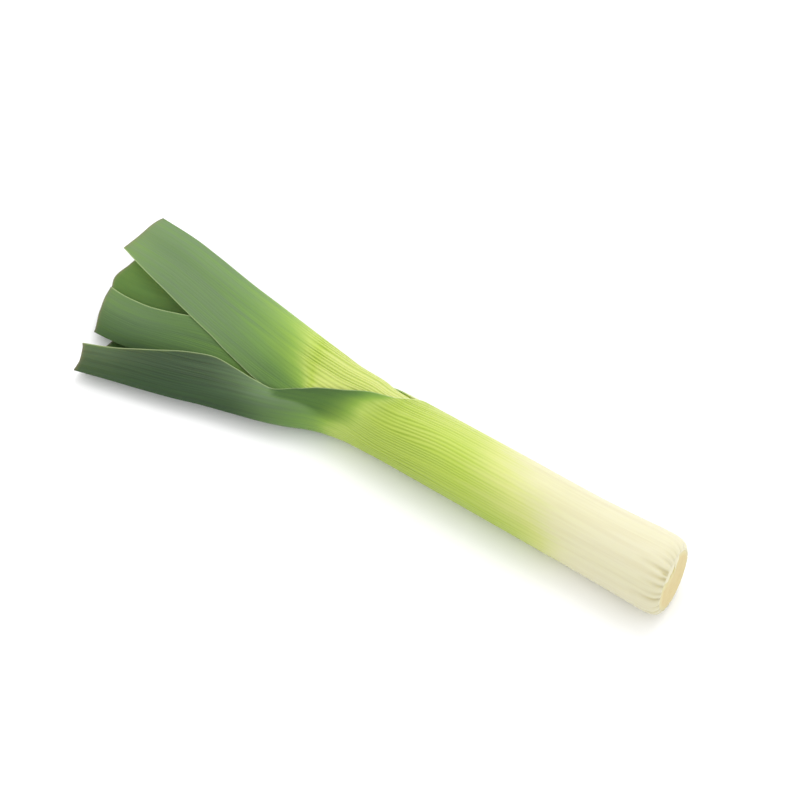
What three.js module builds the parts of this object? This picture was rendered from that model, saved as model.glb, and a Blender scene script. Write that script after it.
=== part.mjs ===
import * as THREE from "three";

// A trimmed leek lying on its side, in millimetres, +Z up.
// The root end points to +X and the cut leaf ends to -X.
// Every leaf is a closed sheath in the shank and a keeled blade beyond its throat.
// "station" is the distance from the cut root face, measured along the shank.
// Leaves are laid out in fan space (station, rank, side) and then bent to the lying pose.

// ---- shank ----
// Each table holds [station, value] pairs, joined by a smooth monotone curve.
const SHANK_RADIUS = [
  [1.6, 18.6],
  [3.4, 20.8],
  [6, 22.0],
  [10, 22.5],
  [16, 22.4],
  [30, 21.8],
  [60, 21.0],
  [110, 20.8],
  [176, 20.4],
];
const BLADE_BEND_RADIUS = [
  [176, 20.4],
  [200, 17.0],
  [215, 14.5],
  [236, 12.0],
  [260, 10.0],
  [290, 8.2],
  [325, 6.8],
  [378, 5.4],
];
const LEAF_STEP = [
  [0, 2.6],
  [176, 2.6],
  [200, 2.3],
  [215, 2.0],
  [236, 1.65],
  [260, 1.4],
  [290, 1.15],
  [378, 1.1],
];
const BLADE_AXIS_HEIGHT = [
  [176, 19.9],
  [236, 18.5],
  [290, 17.0],
  [378, 13.6],
];
const SHANK_END = 176;
const ROOT_AXIS_STATION = 16;
const RESTING_FLAT_DEPTH = 0.5;
const FAN_TILT = THREE.MathUtils.degToRad(22);
// Beyond the shank the lower half of the fan levels out towards the table.
const FAN_STRAIGHT = 8;
const FAN_BEND = 12;
const FAN_LEVEL_START = 176;
const FAN_LEVEL_FULL = 236;
// Degrees by which each half already leaves the keel: from a round bend to a crease.
const KEEL_CREASE = [
  [214, 0],
  [240, 14],
  [270, 26],
  [300, 34],
  [330, 45],
  [378, 52],
];
// The root face is cut a little askew, further out on the near side.
const ROOT_SLANT = 4.4;
const ROOT_SLANT_START = 4;
const ROOT_SLANT_END = 60;

// Stations of the rows shared by all leaves, so that nested walls stay apart.
const STATIONS = [1.6, 2.4, 3.7, 5.3, 9, 16, 28, 60, 176, 188, 197, 205, 214, 224, 235, 246, 254, 264, 277,
  292, 310, 330, 350];
const THROAT_STEPS = [0, 2.5, 5, 8];
const LAST_ROW_ROOM = 6;
const CUT_REACH = 30;

// ---- surface relief ----
const RIB_HEIGHT = 0.3;
const RIB_STRENGTH = [
  [0, 0],
  [60, 0],
  [120, 0.6],
  [176, 1],
  [300, 0.8],
  [378, 0.5],
];
const GATHER_DEPTH = 0.9;
const GATHER_EVERY = 3;
const GATHER_STRENGTH = [
  [1.6, 0.7],
  [4, 1],
  [10, 0.75],
  [18, 0.25],
  [26, 0],
];
const WAVE_HEIGHT = 0.5;
const WAVE_START = 210;
const WAVE_FULL = 290;

// ---- leaves, from the outermost inward ----
// rank -1 has its keel on the near side of the fan, +1 on the far side.
// keel: how far the keel stands from the shank axis.
// near, far: half widths measured along the section, from the keel to each margin.
// nearLean, farLean: degrees by which each half leans away from the fan plane.
// wall: leaf thickness.  cut: [share of half width, station of the cut end].
const LEAVES = [
  {
    name: "leaf_1",
    rank: -1,
    start: 1.6,
    throat: 170,
    columns: 72,
    ribs: 1,
    keel: [
      [176, 20.4],
      [200, 20.6],
      [215, 22.4],
      [225, 25.5],
      [236, 30.4],
      [248, 34.9],
      [260, 38.2],
      [282, 44],
      [300, 49.6],
      [316, 53.9],
      [340, 59.8],
      [362, 65.4],
    ],
    near: [
      [170, 64.1],
      [178, 50.5],
      [185, 44.3],
      [196, 39.9],
      [217, 32],
      [237, 28.4],
      [245, 24.5],
      [251, 22.5],
      [262, 24.3],
      [275, 27.6],
      [290, 30.9],
      [300, 29.9],
      [322, 24.7],
      [340, 21.3],
      [362, 20.2],
    ],
    far: [
      [170, 64.1],
      [190, 58],
      [210, 46],
      [230, 38],
      [250, 35],
      [300, 36],
      [340, 38],
      [362, 38],
    ],
    nearLean: [
      [176, 0],
      [240, 0],
      [252, 6],
      [262, 18],
      [290, 28],
      [322, 45],
      [345, 62],
      [362, 70],
    ],
    farLean: [
      [176, 0],
      [220, 0],
      [260, 4],
      [362, 4],
    ],
    wall: [
      [1.6, 1.1],
      [3.6, 2.0],
      [6, 2.3],
      [176, 2.3],
      [200, 1.8],
      [215, 1.45],
      [236, 1.1],
      [260, 0.9],
      [290, 0.75],
      [362, 0.7],
    ],
    cut: [
      [-1, 354.8],
      [-0.5, 357],
      [0, 357.8],
      [0.2, 356.6],
      [0.4, 355.6],
      [0.6, 355.4],
      [0.8, 355.4],
      [1, 356],
    ],
  },
  {
    name: "leaf_2",
    rank: 1,
    start: 5.3,
    throat: 200,
    columns: 30,
    ribs: 1,
    keel: [
      [176, 17.8],
      [190, 18.4],
      [200, 20],
      [215, 20.7],
      [228, 22.6],
      [256, 26.7],
      [280, 30.4],
      [298, 33.1],
      [327, 38.3],
      [345, 41.1],
      [380, 43.8],
    ],
    near: [
      [200, 54.6],
      [215, 51.8],
      [240, 49.7],
      [262, 48.6],
      [280, 45.5],
      [300, 41.4],
      [320, 39.3],
      [340, 36.8],
      [355, 34.2],
      [380, 28.2],
    ],
    far: [
      [200, 54.6],
      [215, 50],
      [240, 44.3],
      [300, 36.6],
      [355, 30.5],
      [378, 27.5],
    ],
    wall: [
      [0, 2.3],
      [176, 2.3],
      [200, 1.8],
      [215, 1.45],
      [236, 1.1],
      [260, 0.9],
      [290, 0.75],
      [378, 0.7],
    ],
    cut: [
      [-1, 361],
      [-0.5, 364],
      [0, 369.5],
      [0.5, 373.4],
      [1, 378.5],
    ],
  },
  {
    name: "leaf_3",
    rank: -1,
    start: 5.3,
    throat: 222,
    columns: 24,
    ribs: 1,
    keel: [
      [176, 15.2],
      [200, 15.6],
      [222, 17.5],
      [245, 20],
      [300, 25.8],
      [330, 32],
      [348, 35.4],
      [362, 36],
      [376, 34.6],
    ],
    near: [
      [222, 41],
      [235, 38],
      [260, 34],
      [315, 31.3],
      [335, 29.8],
      [376, 28.8],
    ],
    far: [
      [222, 44],
      [240, 44],
      [300, 48],
      [345, 54],
      [376, 58],
    ],
    wall: [
      [0, 2.3],
      [176, 2.3],
      [200, 1.8],
      [215, 1.45],
      [236, 1.1],
      [260, 0.9],
      [290, 0.75],
      [376, 0.7],
    ],
    cut: [
      [-1, 369.5],
      [-0.9, 370.9],
      [-0.8, 372.6],
      [-0.6, 376.3],
      [-0.5, 374.5],
      [-0.3, 370.5],
      [0, 365],
      [0.45, 369.6],
      [0.8, 372.3],
      [1, 372.5],
    ],
  },
  {
    name: "leaf_4",
    rank: 1,
    start: 5.3,
    throat: 240,
    columns: 16,
    ribs: 0,
    keel: [
      [176, 12.6],
      [200, 13],
      [240, 15],
      [280, 20],
      [320, 25],
      [362, 29],
    ],
    near: [
      [240, 34],
      [260, 31],
      [280, 28],
      [300, 25],
      [320, 21.5],
      [345, 16],
      [362, 12],
    ],
    far: [
      [240, 34],
      [280, 28],
      [320, 21],
      [362, 14],
    ],
    wall: [
      [0, 2.15],
      [176, 2.15],
      [200, 1.75],
      [215, 1.4],
      [236, 1.05],
      [260, 0.9],
      [290, 0.75],
      [362, 0.7],
    ],
    cut: [
      [-1, 352],
      [0, 360],
      [1, 356],
    ],
  },
  {
    name: "leaf_5",
    rank: -1,
    start: 5.3,
    throat: 255,
    columns: 14,
    ribs: 0,
    keel: [
      [176, 10],
      [230, 10.6],
      [260, 12],
      [312, 16],
    ],
    near: [
      [255, 24],
      [275, 19],
      [312, 12],
    ],
    far: [
      [255, 24],
      [275, 19],
      [312, 12],
    ],
    wall: [
      [0, 2.15],
      [176, 2.15],
      [200, 1.75],
      [215, 1.4],
      [236, 1.05],
      [260, 0.9],
      [290, 0.75],
      [312, 0.7],
    ],
    cut: [
      [-1, 303],
      [0, 309],
      [1, 302],
    ],
  },
  {
    name: "leaf_6",
    rank: 1,
    start: 5.3,
    throat: 266,
    columns: 12,
    ribs: 0,
    keel: [
      [176, 7.4],
      [230, 8],
      [270, 10],
      [302, 12.5],
    ],
    near: [
      [266, 18],
      [280, 13],
      [302, 8],
    ],
    far: [
      [266, 18],
      [280, 13],
      [302, 8],
    ],
    wall: [
      [0, 2.15],
      [176, 2.15],
      [200, 1.75],
      [215, 1.4],
      [236, 1.05],
      [260, 0.9],
      [290, 0.75],
      [302, 0.7],
    ],
    cut: [
      [-1, 292],
      [0, 299],
      [1, 293],
    ],
  },
];

// ---- heart: the youngest leaf, still rolled solid ----
const HEART_START = 5.3;
const HEART_END = 288;
const HEART_COLUMNS = 14;
const HEART_ROWS = [5.3, 9, 16, 28, 60, 176, 205, 224, 246, 264, 276, 284, 288];
const HEART_KEEL = [
  [176, 4.8],
  [240, 4.8],
  [288, 6],
];
const HEART_TAPER = [
  [0, 0.97],
  [262, 0.95],
  [276, 0.8],
  [284, 0.5],
  [288, 0.25],
];

// ---- basal plate: the trimmed root disc ----
const PLATE_COLUMNS = 30;
const PLATE_PROFILE = [
  [1.25, 5],
  [0.9, 10.5],
  [1.05, 15.8],
  [1.6, 16.9],
  [2.4, 17.5],
  [3.4, 18.1],
  [4.4, 18.2],
  [5.0, 16.6],
  [5.0, 8],
];
const PLATE_CENTRE_FRONT = 1.4;
const PLATE_CENTRE_BACK = 5.0;
const PLATE_UNEVENNESS = 0.25;

// ---- colours ----
const COLOURS = {
  basal_plate: 0xdcc9a0,
  leaf_1: 0xa9c27c,
  leaf_2: 0x8fb36a,
  leaf_3: 0x6f9352,
  leaf_4: 0x7ea05c,
  leaf_5: 0xa9bd6c,
  leaf_6: 0xc3cf85,
  heart_leaf: 0xd9dfa0,
};

// Smooth monotone curve through the [station, value] pairs of a table.
function track(table, at) {
  const last = table.length - 1;
  if (at <= table[0][0]) return table[0][1];
  if (at >= table[last][0]) return table[last][1];
  let i = 0;
  while (at > table[i + 1][0]) i += 1;
  const slope = (n) => (table[n + 1][1] - table[n][1]) / (table[n + 1][0] - table[n][0]);
  const tangent = (n) => {
    if (n === 0) return slope(0);
    if (n === last) return slope(last - 1);
    const before = slope(n - 1);
    const after = slope(n);
    if (before * after <= 0) return 0;
    const left = table[n][0] - table[n - 1][0];
    const right = table[n + 1][0] - table[n][0];
    const w1 = 2 * right + left;
    const w2 = right + 2 * left;
    return (w1 + w2) / (w1 / before + w2 / after);
  };
  const h = table[i + 1][0] - table[i][0];
  const q = (at - table[i][0]) / h;
  const r = 1 - q;
  const rise = table[i][1] * (1 + 2 * q) * r * r + table[i + 1][1] * q * q * (3 - 2 * q);
  return rise + h * (tangent(i) * q * r * r - tangent(i + 1) * q * q * r);
}

// Repeatable value between 0 and 1 for a whole number.
function scatter(n) {
  const v = Math.sin(n * 12.9898) * 43758.5453;
  return v - Math.floor(v);
}

// Outer radius of the sheath bundle, and of each bend beyond it, for one leaf.
function bendRadius(order, station) {
  const outermost = station < SHANK_END ? track(SHANK_RADIUS, station) : track(BLADE_BEND_RADIUS, station);
  return outermost - order * track(LEAF_STEP, station);
}

function axisHeight(station) {
  if (station > SHANK_END) return track(BLADE_AXIS_HEIGHT, station);
  return track(SHANK_RADIUS, Math.max(station, ROOT_AXIS_STATION)) - RESTING_FLAT_DEPTH;
}

// Fan space to the lying pose: rank runs across the fan, side stands off it.
function fanToPose(station, rank, side) {
  const wave = THREE.MathUtils.smoothstep(station, WAVE_START, WAVE_FULL);
  const offset = side + wave * WAVE_HEIGHT * Math.sin(station / 19 + rank / 14);
  const tilt = Math.sin(FAN_TILT);
  const levelling = THREE.MathUtils.smoothstep(station, FAN_LEVEL_START, FAN_LEVEL_FULL);
  const bend = FAN_BEND / Math.max(levelling, 0.01);
  const beyond = Math.max(-rank - FAN_STRAIGHT, 0);
  const fade = Math.exp(-beyond / bend);
  const slope = tilt * fade;
  let across = Math.cos(FAN_TILT) * rank;
  let rise = tilt * rank;
  if (beyond > 0) {
    const shortening = 0.25 * tilt * tilt * bend * (1 - fade * fade);
    across = -FAN_STRAIGHT * Math.cos(FAN_TILT) - (beyond - shortening);
    rise = -tilt * (FAN_STRAIGHT + bend * (1 - fade));
  }
  const y = across - offset * slope;
  const z = axisHeight(station) + rise + offset * Math.sqrt(1 - slope * slope);
  const slant = 1 - THREE.MathUtils.smoothstep(station, ROOT_SLANT_START, ROOT_SLANT_END);
  const x = ROOT_SLANT * slant * (0.5 - rank / (2 * SHANK_RADIUS[0][1])) - station;
  return [x, y, z];
}

function keelDistance(order, station) {
  if (station <= SHANK_END || order >= LEAVES.length) return bendRadius(order, Math.min(station, SHANK_END));
  return track(LEAVES[order].keel, station);
}

// Bend at the keel, from a crease to the straight side of the leaf.
function keelBend(radius, station, turn) {
  const crease = THREE.MathUtils.degToRad(track(KEEL_CREASE, station)) * (turn / (Math.PI / 2));
  const bend = (radius * Math.sin(turn)) / (Math.sin(turn) - Math.sin(crease));
  return { crease, bend, depth: bend * (Math.cos(crease) - Math.cos(turn)) };
}

// Straight length between the two end bends of a leaf section.
function sectionGap(order, station) {
  const radius = bendRadius(order, station);
  const keel = order < LEAVES.length ? keelDistance(order, station) : heartKeel(station);
  let opposite = keel;
  if (order + 1 < LEAVES.length) opposite = keelDistance(order + 1, station) + LEAF_STEP[0][1];
  if (order + 1 === LEAVES.length) opposite = heartKeel(station) + LEAF_STEP[0][1];
  return Math.max(keel + opposite - radius - keelBend(radius, station, Math.PI / 2).depth, 0);
}

function heartKeel(station) {
  if (station <= SHANK_END) return bendRadius(LEAVES.length, station);
  return track(HEART_KEEL, station);
}

function closedWidth(order, station) {
  const radius = bendRadius(order, station);
  const { crease, bend } = keelBend(radius, station, Math.PI / 2);
  return bend * (Math.PI / 2 - crease) + sectionGap(order, station) + (Math.PI / 2) * radius;
}

// One half of a leaf section: bend at the keel, straight side, bend back at the far end.
function halfSection(along, radius, station, turn, gap) {
  const { crease, bend } = keelBend(radius, station, turn);
  const first = bend * (turn - crease);
  const bent = crease + Math.min(along, first) / bend;
  const straight = THREE.MathUtils.clamp(along - first, 0, gap);
  const back = turn + Math.max(along - first - gap, 0) / radius;
  const angle = bent + back - turn;
  return {
    depth:
      bend * (Math.cos(crease) - Math.cos(bent)) +
      straight * Math.sin(turn) +
      radius * (Math.cos(turn) - Math.cos(back)),
    side:
      bend * (Math.sin(bent) - Math.sin(crease)) +
      straight * Math.cos(turn) +
      radius * (Math.sin(back) - Math.sin(turn)),
    normalDepth: -Math.cos(angle),
    normalSide: Math.sin(angle),
  };
}

// A point of a leaf: share runs from -1 (far margin) over 0 (keel) to 1 (near margin).
function leafPoint(leaf, order, station, share, inset) {
  const radius = bendRadius(order, station);
  const gap = sectionGap(order, station);
  const closed = closedWidth(order, station);
  const near = share >= 0;
  let width = closed;
  let lean = 0;
  if (station > leaf.throat) {
    const table = near ? leaf.near : leaf.far;
    width = Math.min(closed, track([[leaf.throat, closedWidth(order, leaf.throat)], ...table.slice(1)], station));
    const leanTable = near ? leaf.nearLean : leaf.farLean;
    lean = leanTable ? THREE.MathUtils.degToRad(track(leanTable, station)) : 0;
  }
  const half = halfSection(Math.abs(share) * width, radius, station, Math.PI / 2 - lean, gap);
  const depth = half.depth - inset * half.normalDepth;
  const side = half.side - inset * half.normalSide;
  const keel = keelDistance(order, station);
  return fanToPose(station, leaf.rank * (keel - depth), near ? side : -side);
}

// How far the skin is pushed in at one column: long ribs, and gathers at the root end.
function relief(leaf, station, column) {
  let inset = 0;
  if (leaf.ribs && column % 2 === 1) inset += RIB_HEIGHT * track(RIB_STRENGTH, station);
  if (leaf.start < 1 && column % GATHER_EVERY === 0) {
    inset += GATHER_DEPTH * (0.35 + 0.65 * scatter(column + 1)) * track(GATHER_STRENGTH, station);
  }
  return inset;
}

function cutAtKeel(leaf) {
  return track(leaf.cut, 0);
}

// Rows of one leaf: the shared stations, closer ones above its throat, and its cut end.
function leafRows(leaf) {
  const end = cutAtKeel(leaf);
  const throatRows = THROAT_STEPS.map((step) => leaf.throat + step);
  const top = throatRows[throatRows.length - 1];
  const below = STATIONS.filter((row) => row >= leaf.start && row < leaf.throat - 1);
  const above = STATIONS.filter((row) => row > top + 1 && row < end - LAST_ROW_ROOM);
  const start = below[0] === leaf.start ? [] : [leaf.start];
  return [...start, ...below, ...throatRows, ...above, end];
}

// The last rows are stretched so that the leaf ends along its cut line.
function cutStation(leaf, row, share) {
  const end = cutAtKeel(leaf);
  const fixed = end - CUT_REACH;
  if (row <= fixed) return row;
  return fixed + ((row - fixed) * (track(leaf.cut, share) - fixed)) / (end - fixed);
}

function leafGeometry(leaf, order) {
  const columns = leaf.columns;
  const positions = [];
  const outer = [];
  const inner = [];
  const addPoint = (point) => {
    positions.push(point[0], point[1], Math.max(point[2], 0));
    return positions.length / 3 - 1;
  };
  const rows = leafRows(leaf);
  for (const row of rows) {
    const closed = row <= leaf.throat;
    const outerRow = [];
    const innerRow = [];
    for (let column = 0; column <= columns; column += 1) {
      if (closed && column === columns) {
        outerRow.push(outerRow[0]);
        innerRow.push(innerRow[0]);
        continue;
      }
      const share = (2 * column) / columns - 1;
      const station = cutStation(leaf, row, share);
      const margin = station > leaf.throat && (column === 0 || column === columns);
      const skin = margin ? 0 : relief(leaf, station, column);
      outerRow.push(addPoint(leafPoint(leaf, order, station, share, skin)));
      innerRow.push(addPoint(leafPoint(leaf, order, station, share, track(leaf.wall, station))));
    }
    outer.push(outerRow);
    inner.push(innerRow);
  }
  const faces = [];
  const flip = leaf.rank < 0;
  const quad = (a, b, c, d) => {
    if (flip) faces.push(a, c, b, a, d, c);
    else faces.push(a, b, c, a, c, d);
  };
  const lastRow = rows.length - 1;
  for (let i = 0; i < lastRow; i += 1) {
    for (let j = 0; j < columns; j += 1) {
      quad(outer[i][j], outer[i + 1][j], outer[i + 1][j + 1], outer[i][j + 1]);
      const [a, b, c, d] = [inner[i][j], inner[i + 1][j], inner[i + 1][j + 1], inner[i][j + 1]];
      if (flip) faces.push(a, b, c, a, c, d);
      else faces.push(a, c, b, a, d, c);
    }
    if (rows[i + 1] > leaf.throat) {
      quad(outer[i][0], inner[i][0], inner[i + 1][0], outer[i + 1][0]);
      quad(outer[i][columns], outer[i + 1][columns], inner[i + 1][columns], inner[i][columns]);
    }
  }
  for (let j = 0; j < columns; j += 1) {
    quad(outer[0][j], outer[0][j + 1], inner[0][j + 1], inner[0][j]);
    quad(outer[lastRow][j], inner[lastRow][j], inner[lastRow][j + 1], outer[lastRow][j + 1]);
  }
  return solid(positions, faces);
}

// Rings of points closed at both ends by a centre point.
function ringSolid(rings, first, last) {
  const count = rings[0].length;
  const positions = [...first, ...rings.flat(2), ...last];
  const lastIndex = positions.length / 3 - 1;
  const at = (ring, column) => 1 + ring * count + (column % count);
  const faces = [];
  for (let column = 0; column < count; column += 1) {
    faces.push(0, at(0, column), at(0, column + 1));
    faces.push(lastIndex, at(rings.length - 1, column + 1), at(rings.length - 1, column));
    for (let ring = 0; ring < rings.length - 1; ring += 1) {
      faces.push(at(ring, column), at(ring + 1, column), at(ring + 1, column + 1));
      faces.push(at(ring, column), at(ring + 1, column + 1), at(ring, column + 1));
    }
  }
  return solid(positions, faces);
}

function heartGeometry() {
  const order = LEAVES.length;
  const ring = (station) => {
    const radius = bendRadius(order, station);
    const gap = sectionGap(order, station);
    const taper = track(HEART_TAPER, station);
    const points = [];
    for (let column = 0; column < HEART_COLUMNS; column += 1) {
      const share = 1 - (2 * column) / HEART_COLUMNS;
      const half = halfSection(Math.abs(share) * closedWidth(order, station), radius, station, Math.PI / 2, gap);
      const rank = -(heartKeel(station) - half.depth) * taper;
      points.push(fanToPose(station, rank, (share >= 0 ? half.side : -half.side) * taper));
    }
    return points;
  };
  const first = fanToPose(HEART_START, 0, 0);
  const last = fanToPose(HEART_END, 0, 0);
  return ringSolid(HEART_ROWS.map(ring), first, last);
}

function plateGeometry() {
  const ring = ([station, radius], index) => {
    const points = [];
    for (let column = 0; column < PLATE_COLUMNS; column += 1) {
      const angle = (2 * Math.PI * column) / PLATE_COLUMNS;
      const rough = index < 3 ? PLATE_UNEVENNESS * scatter(column * 7 + index * 31) : 0;
      const side = radius * Math.sin(angle);
      points.push(fanToPose(station + rough, radius * Math.cos(angle), side));
    }
    return points;
  };
  const first = fanToPose(PLATE_CENTRE_FRONT, 0, 0);
  const last = fanToPose(PLATE_CENTRE_BACK, 0, 0);
  return ringSolid(PLATE_PROFILE.map(ring), first, last);
}

function solid(positions, faces) {
  const geometry = new THREE.BufferGeometry();
  geometry.setAttribute("position", new THREE.Float32BufferAttribute(positions, 3));
  geometry.setIndex(faces);
  return geometry;
}

function addMesh(group, name, geometry) {
  geometry.computeVertexNormals();
  const material = new THREE.MeshStandardMaterial({ color: COLOURS[name], roughness: 0.6 });
  const mesh = new THREE.Mesh(geometry, material);
  mesh.name = name;
  group.add(mesh);
}

// The origin goes to the bottom centre of the whole leek.
function centreOnFloor(group) {
  const box = new THREE.Box3().setFromObject(group);
  const centre = box.getCenter(new THREE.Vector3());
  for (const mesh of group.children) {
    mesh.geometry.translate(-centre.x, -centre.y, -box.min.z);
  }
}

const leek = new THREE.Group();
leek.name = "leek";
addMesh(leek, "basal_plate", plateGeometry());
LEAVES.forEach((leaf, order) => addMesh(leek, leaf.name, leafGeometry(leaf, order)));
addMesh(leek, "heart_leaf", heartGeometry());
centreOnFloor(leek);

export default leek;
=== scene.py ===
import math

import bpy
import numpy as np
from bpy.props import FloatProperty, FloatVectorProperty, PointerProperty
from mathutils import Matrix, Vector


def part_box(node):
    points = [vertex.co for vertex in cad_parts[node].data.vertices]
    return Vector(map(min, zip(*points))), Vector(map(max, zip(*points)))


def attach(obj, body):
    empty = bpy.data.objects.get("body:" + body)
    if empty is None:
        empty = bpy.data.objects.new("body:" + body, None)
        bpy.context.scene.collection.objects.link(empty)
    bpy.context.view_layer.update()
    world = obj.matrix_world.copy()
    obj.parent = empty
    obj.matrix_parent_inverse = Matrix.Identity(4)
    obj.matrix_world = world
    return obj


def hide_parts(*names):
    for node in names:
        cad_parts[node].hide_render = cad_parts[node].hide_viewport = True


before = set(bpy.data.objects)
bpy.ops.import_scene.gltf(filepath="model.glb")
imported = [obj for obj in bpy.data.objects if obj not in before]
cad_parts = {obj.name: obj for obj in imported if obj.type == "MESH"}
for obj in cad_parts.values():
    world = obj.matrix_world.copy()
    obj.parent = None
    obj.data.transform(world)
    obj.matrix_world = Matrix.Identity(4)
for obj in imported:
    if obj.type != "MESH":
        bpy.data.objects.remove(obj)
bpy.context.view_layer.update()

bl_info = {
    "name": "Trimmed leek",
    "version": (1, 0, 0),
    "blender": (4, 5, 0),
    "location": "3D View > Sidebar > Leek",
    "description": "Dresses the solid frame of a trimmed leek with fine leaves",
    "category": "Add Mesh",
}

MM = 0.001
QUARTER_TURN = math.pi / 2
# Tables over the whole length, [station, value].
NOWHERE = [(0, 0), (380, 0)]
EVERYWHERE = [(0, 1), (380, 1)]

# ---- the leek's own sizes, in millimetres, as in its solid frame ----
# A station is the distance from the cut root face along the shank. Pairs in a table are [station, value],
# unless its comment says otherwise.
SHANK_RADIUS = [(1.6, 18.6), (3.4, 20.8), (6, 22.0), (10, 22.5), (16, 22.4), (30, 21.8), (60, 21.0), (110, 20.8),
                (176, 20.4)]
BLADE_BEND_RADIUS = [(176, 20.4), (200, 17.0), (215, 14.5), (236, 12.0), (260, 10.0), (290, 8.2), (325, 6.8),
                     (378, 5.4)]
LEAF_STEP = [(0, 2.6), (176, 2.6), (200, 2.3), (215, 2.0), (236, 1.65), (260, 1.4), (290, 1.15), (378, 1.1)]
SHEATH_SPACING = LEAF_STEP[0][1]
BLADE_AXIS_HEIGHT = [(176, 19.9), (236, 18.5), (290, 17.0), (378, 13.6)]
SHANK_END = 176
ROOT_AXIS_STATION = 16
RESTING_FLAT_DEPTH = 0.5
FAN_TILT = math.radians(22)
FAN_STRAIGHT = 8
FAN_BEND = 12
FAN_LEVEL = (176, 236)
LEAST_LEVELLING = 0.01
KEEL_CREASE = [(214, 0), (240, 14), (270, 26), (300, 34), (330, 45), (378, 52)]
ROOT_SLANT = 4.4
ROOT_SLANT_RUN = (4, 60)
WAVE_HEIGHT = 0.5
WAVE_RUN = (210, 290)
# Spacing of the waves along and across the fan.
WAVE_SPACING = (19, 14)
CUT_REACH = 30
ROOT_RIM_STATION = 1.6

# Leaves from the outermost inward. Rank -1 has its keel on the near side of the fan, +1 on the far side. keel is
# its distance from the axis, near and far are the widths of its halves, the leans turn them in, in degrees, and cut
# is the end of the blade as [share of half width, station].
OUTER_WALL = [(1.6, 1.2), (3.0, 2.0), (6, 2.3), (176, 2.3), (200, 1.8), (215, 1.45), (236, 1.1), (260, 0.9),
              (290, 0.75), (380, 0.7)]
MIDDLE_WALL = [(0, 2.3)] + OUTER_WALL[3:]
INNER_WALL = [(0, 2.15), (176, 2.15), (200, 1.75), (215, 1.4), (236, 1.05), (260, 0.9), (290, 0.75), (380, 0.7)]
LEAVES = [
    dict(name="leaf_1", rank=-1, start=ROOT_RIM_STATION, throat=170, wall=OUTER_WALL,
         keel=[(176, 20.4), (200, 20.6), (215, 22.4), (225, 25.5), (236, 30.4), (248, 34.9), (260, 38.2), (282, 44),
               (300, 49.6), (316, 53.9), (340, 59.8), (362, 65.4)],
         near=[(170, 64.1), (178, 50.5), (185, 44.3), (196, 39.9), (217, 32), (237, 28.4), (245, 24.5),
               (251, 22.5), (262, 24.3), (275, 27.6), (290, 30.9), (300, 29.9), (322, 24.7), (340, 21.3), (362, 20.2)],
         far=[(170, 64.1), (190, 58), (210, 46), (230, 38), (250, 35), (300, 36), (340, 38), (362, 38)],
         near_lean=[(176, 0), (240, 0), (252, 6), (262, 18), (290, 28), (322, 45), (345, 62), (362, 70)],
         far_lean=[(176, 0), (220, 0), (260, 4), (362, 4)],
         cut=[(-1, 354.8), (-0.5, 357), (0, 357.8), (0.2, 356.6), (0.4, 355.6), (0.6, 355.4), (0.8, 355.4),
              (1, 356)]),
    dict(name="leaf_2", rank=1, start=5.3, throat=200, wall=MIDDLE_WALL,
         keel=[(176, 17.8), (190, 18.4), (200, 20), (215, 20.7), (228, 22.6), (256, 26.7), (280, 30.4), (298, 33.1),
               (327, 38.3), (345, 41.1), (380, 43.8)],
         near=[(200, 54.6), (215, 51.8), (240, 49.7), (262, 48.6), (280, 45.5), (300, 41.4), (320, 39.3), (340, 36.8),
               (355, 34.2), (380, 28.2)],
         far=[(200, 54.6), (215, 50), (240, 44.3), (300, 36.6), (355, 30.5), (378, 27.5)],
         cut=[(-1, 361), (-0.5, 364), (0, 369.5), (0.5, 373.4), (1, 378.5)]),
    dict(name="leaf_3", rank=-1, start=5.3, throat=222, wall=MIDDLE_WALL,
         keel=[(176, 15.2), (200, 15.6), (222, 17.5), (245, 20), (300, 25.8), (330, 32), (348, 35.4), (362, 36),
               (376, 34.6)],
         near=[(222, 41), (235, 38), (260, 34), (315, 31.3), (335, 29.8), (376, 28.8)],
         far=[(222, 44), (240, 44), (300, 48), (345, 54), (376, 58)],
         cut=[(-1, 369.5), (-0.9, 370.9), (-0.8, 372.6), (-0.6, 376.3), (-0.5, 374.5), (-0.3, 370.5), (0, 365),
              (0.45, 369.6), (0.8, 372.3), (1, 372.5)]),
    dict(name="leaf_4", rank=1, start=5.3, throat=240, wall=INNER_WALL,
         keel=[(176, 12.6), (200, 13), (240, 15), (280, 20), (320, 25), (362, 29)],
         near=[(240, 34), (260, 31), (280, 28), (300, 25), (320, 21.5), (345, 16), (362, 12)],
         far=[(240, 34), (280, 28), (320, 21), (362, 14)],
         cut=[(-1, 352), (0, 360), (1, 356)]),
    dict(name="leaf_5", rank=-1, start=5.3, throat=255, wall=INNER_WALL,
         keel=[(176, 10), (230, 10.6), (260, 12), (312, 16)],
         near=[(255, 24), (275, 19), (312, 12)], far=[(255, 24), (275, 19), (312, 12)],
         cut=[(-1, 303), (0, 309), (1, 302)]),
    dict(name="leaf_6", rank=1, start=5.3, throat=266, wall=INNER_WALL,
         keel=[(176, 7.4), (230, 8), (270, 10), (302, 12.5)],
         near=[(266, 18), (280, 13), (302, 8)], far=[(266, 18), (280, 13), (302, 8)],
         cut=[(-1, 292), (0, 299), (1, 293)]),
]
HEART_ORDER = len(LEAVES)
HEART_START = 5.3
HEART_END = 288
HEART_KEEL = [(176, 4.8), (240, 4.8), (288, 6)]
HEART_TAPER = [(0, 0.97), (262, 0.95), (276, 0.8), (284, 0.5), (288, 0.25)]
# Cut face of the root disc, [radius, station], and its back, [station, radius].
PLATE_FACE = [(0, 1.3), (5, 1.25), (10.5, 0.92), (15.8, 1.1), (17.48, 1.6)]
PLATE_BEHIND = [(1.9, 17.55), (2.4, 17.7), (3.4, 18.1), (4.4, 18.2), (5.0, 16.6), (5.0, 8)]
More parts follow.
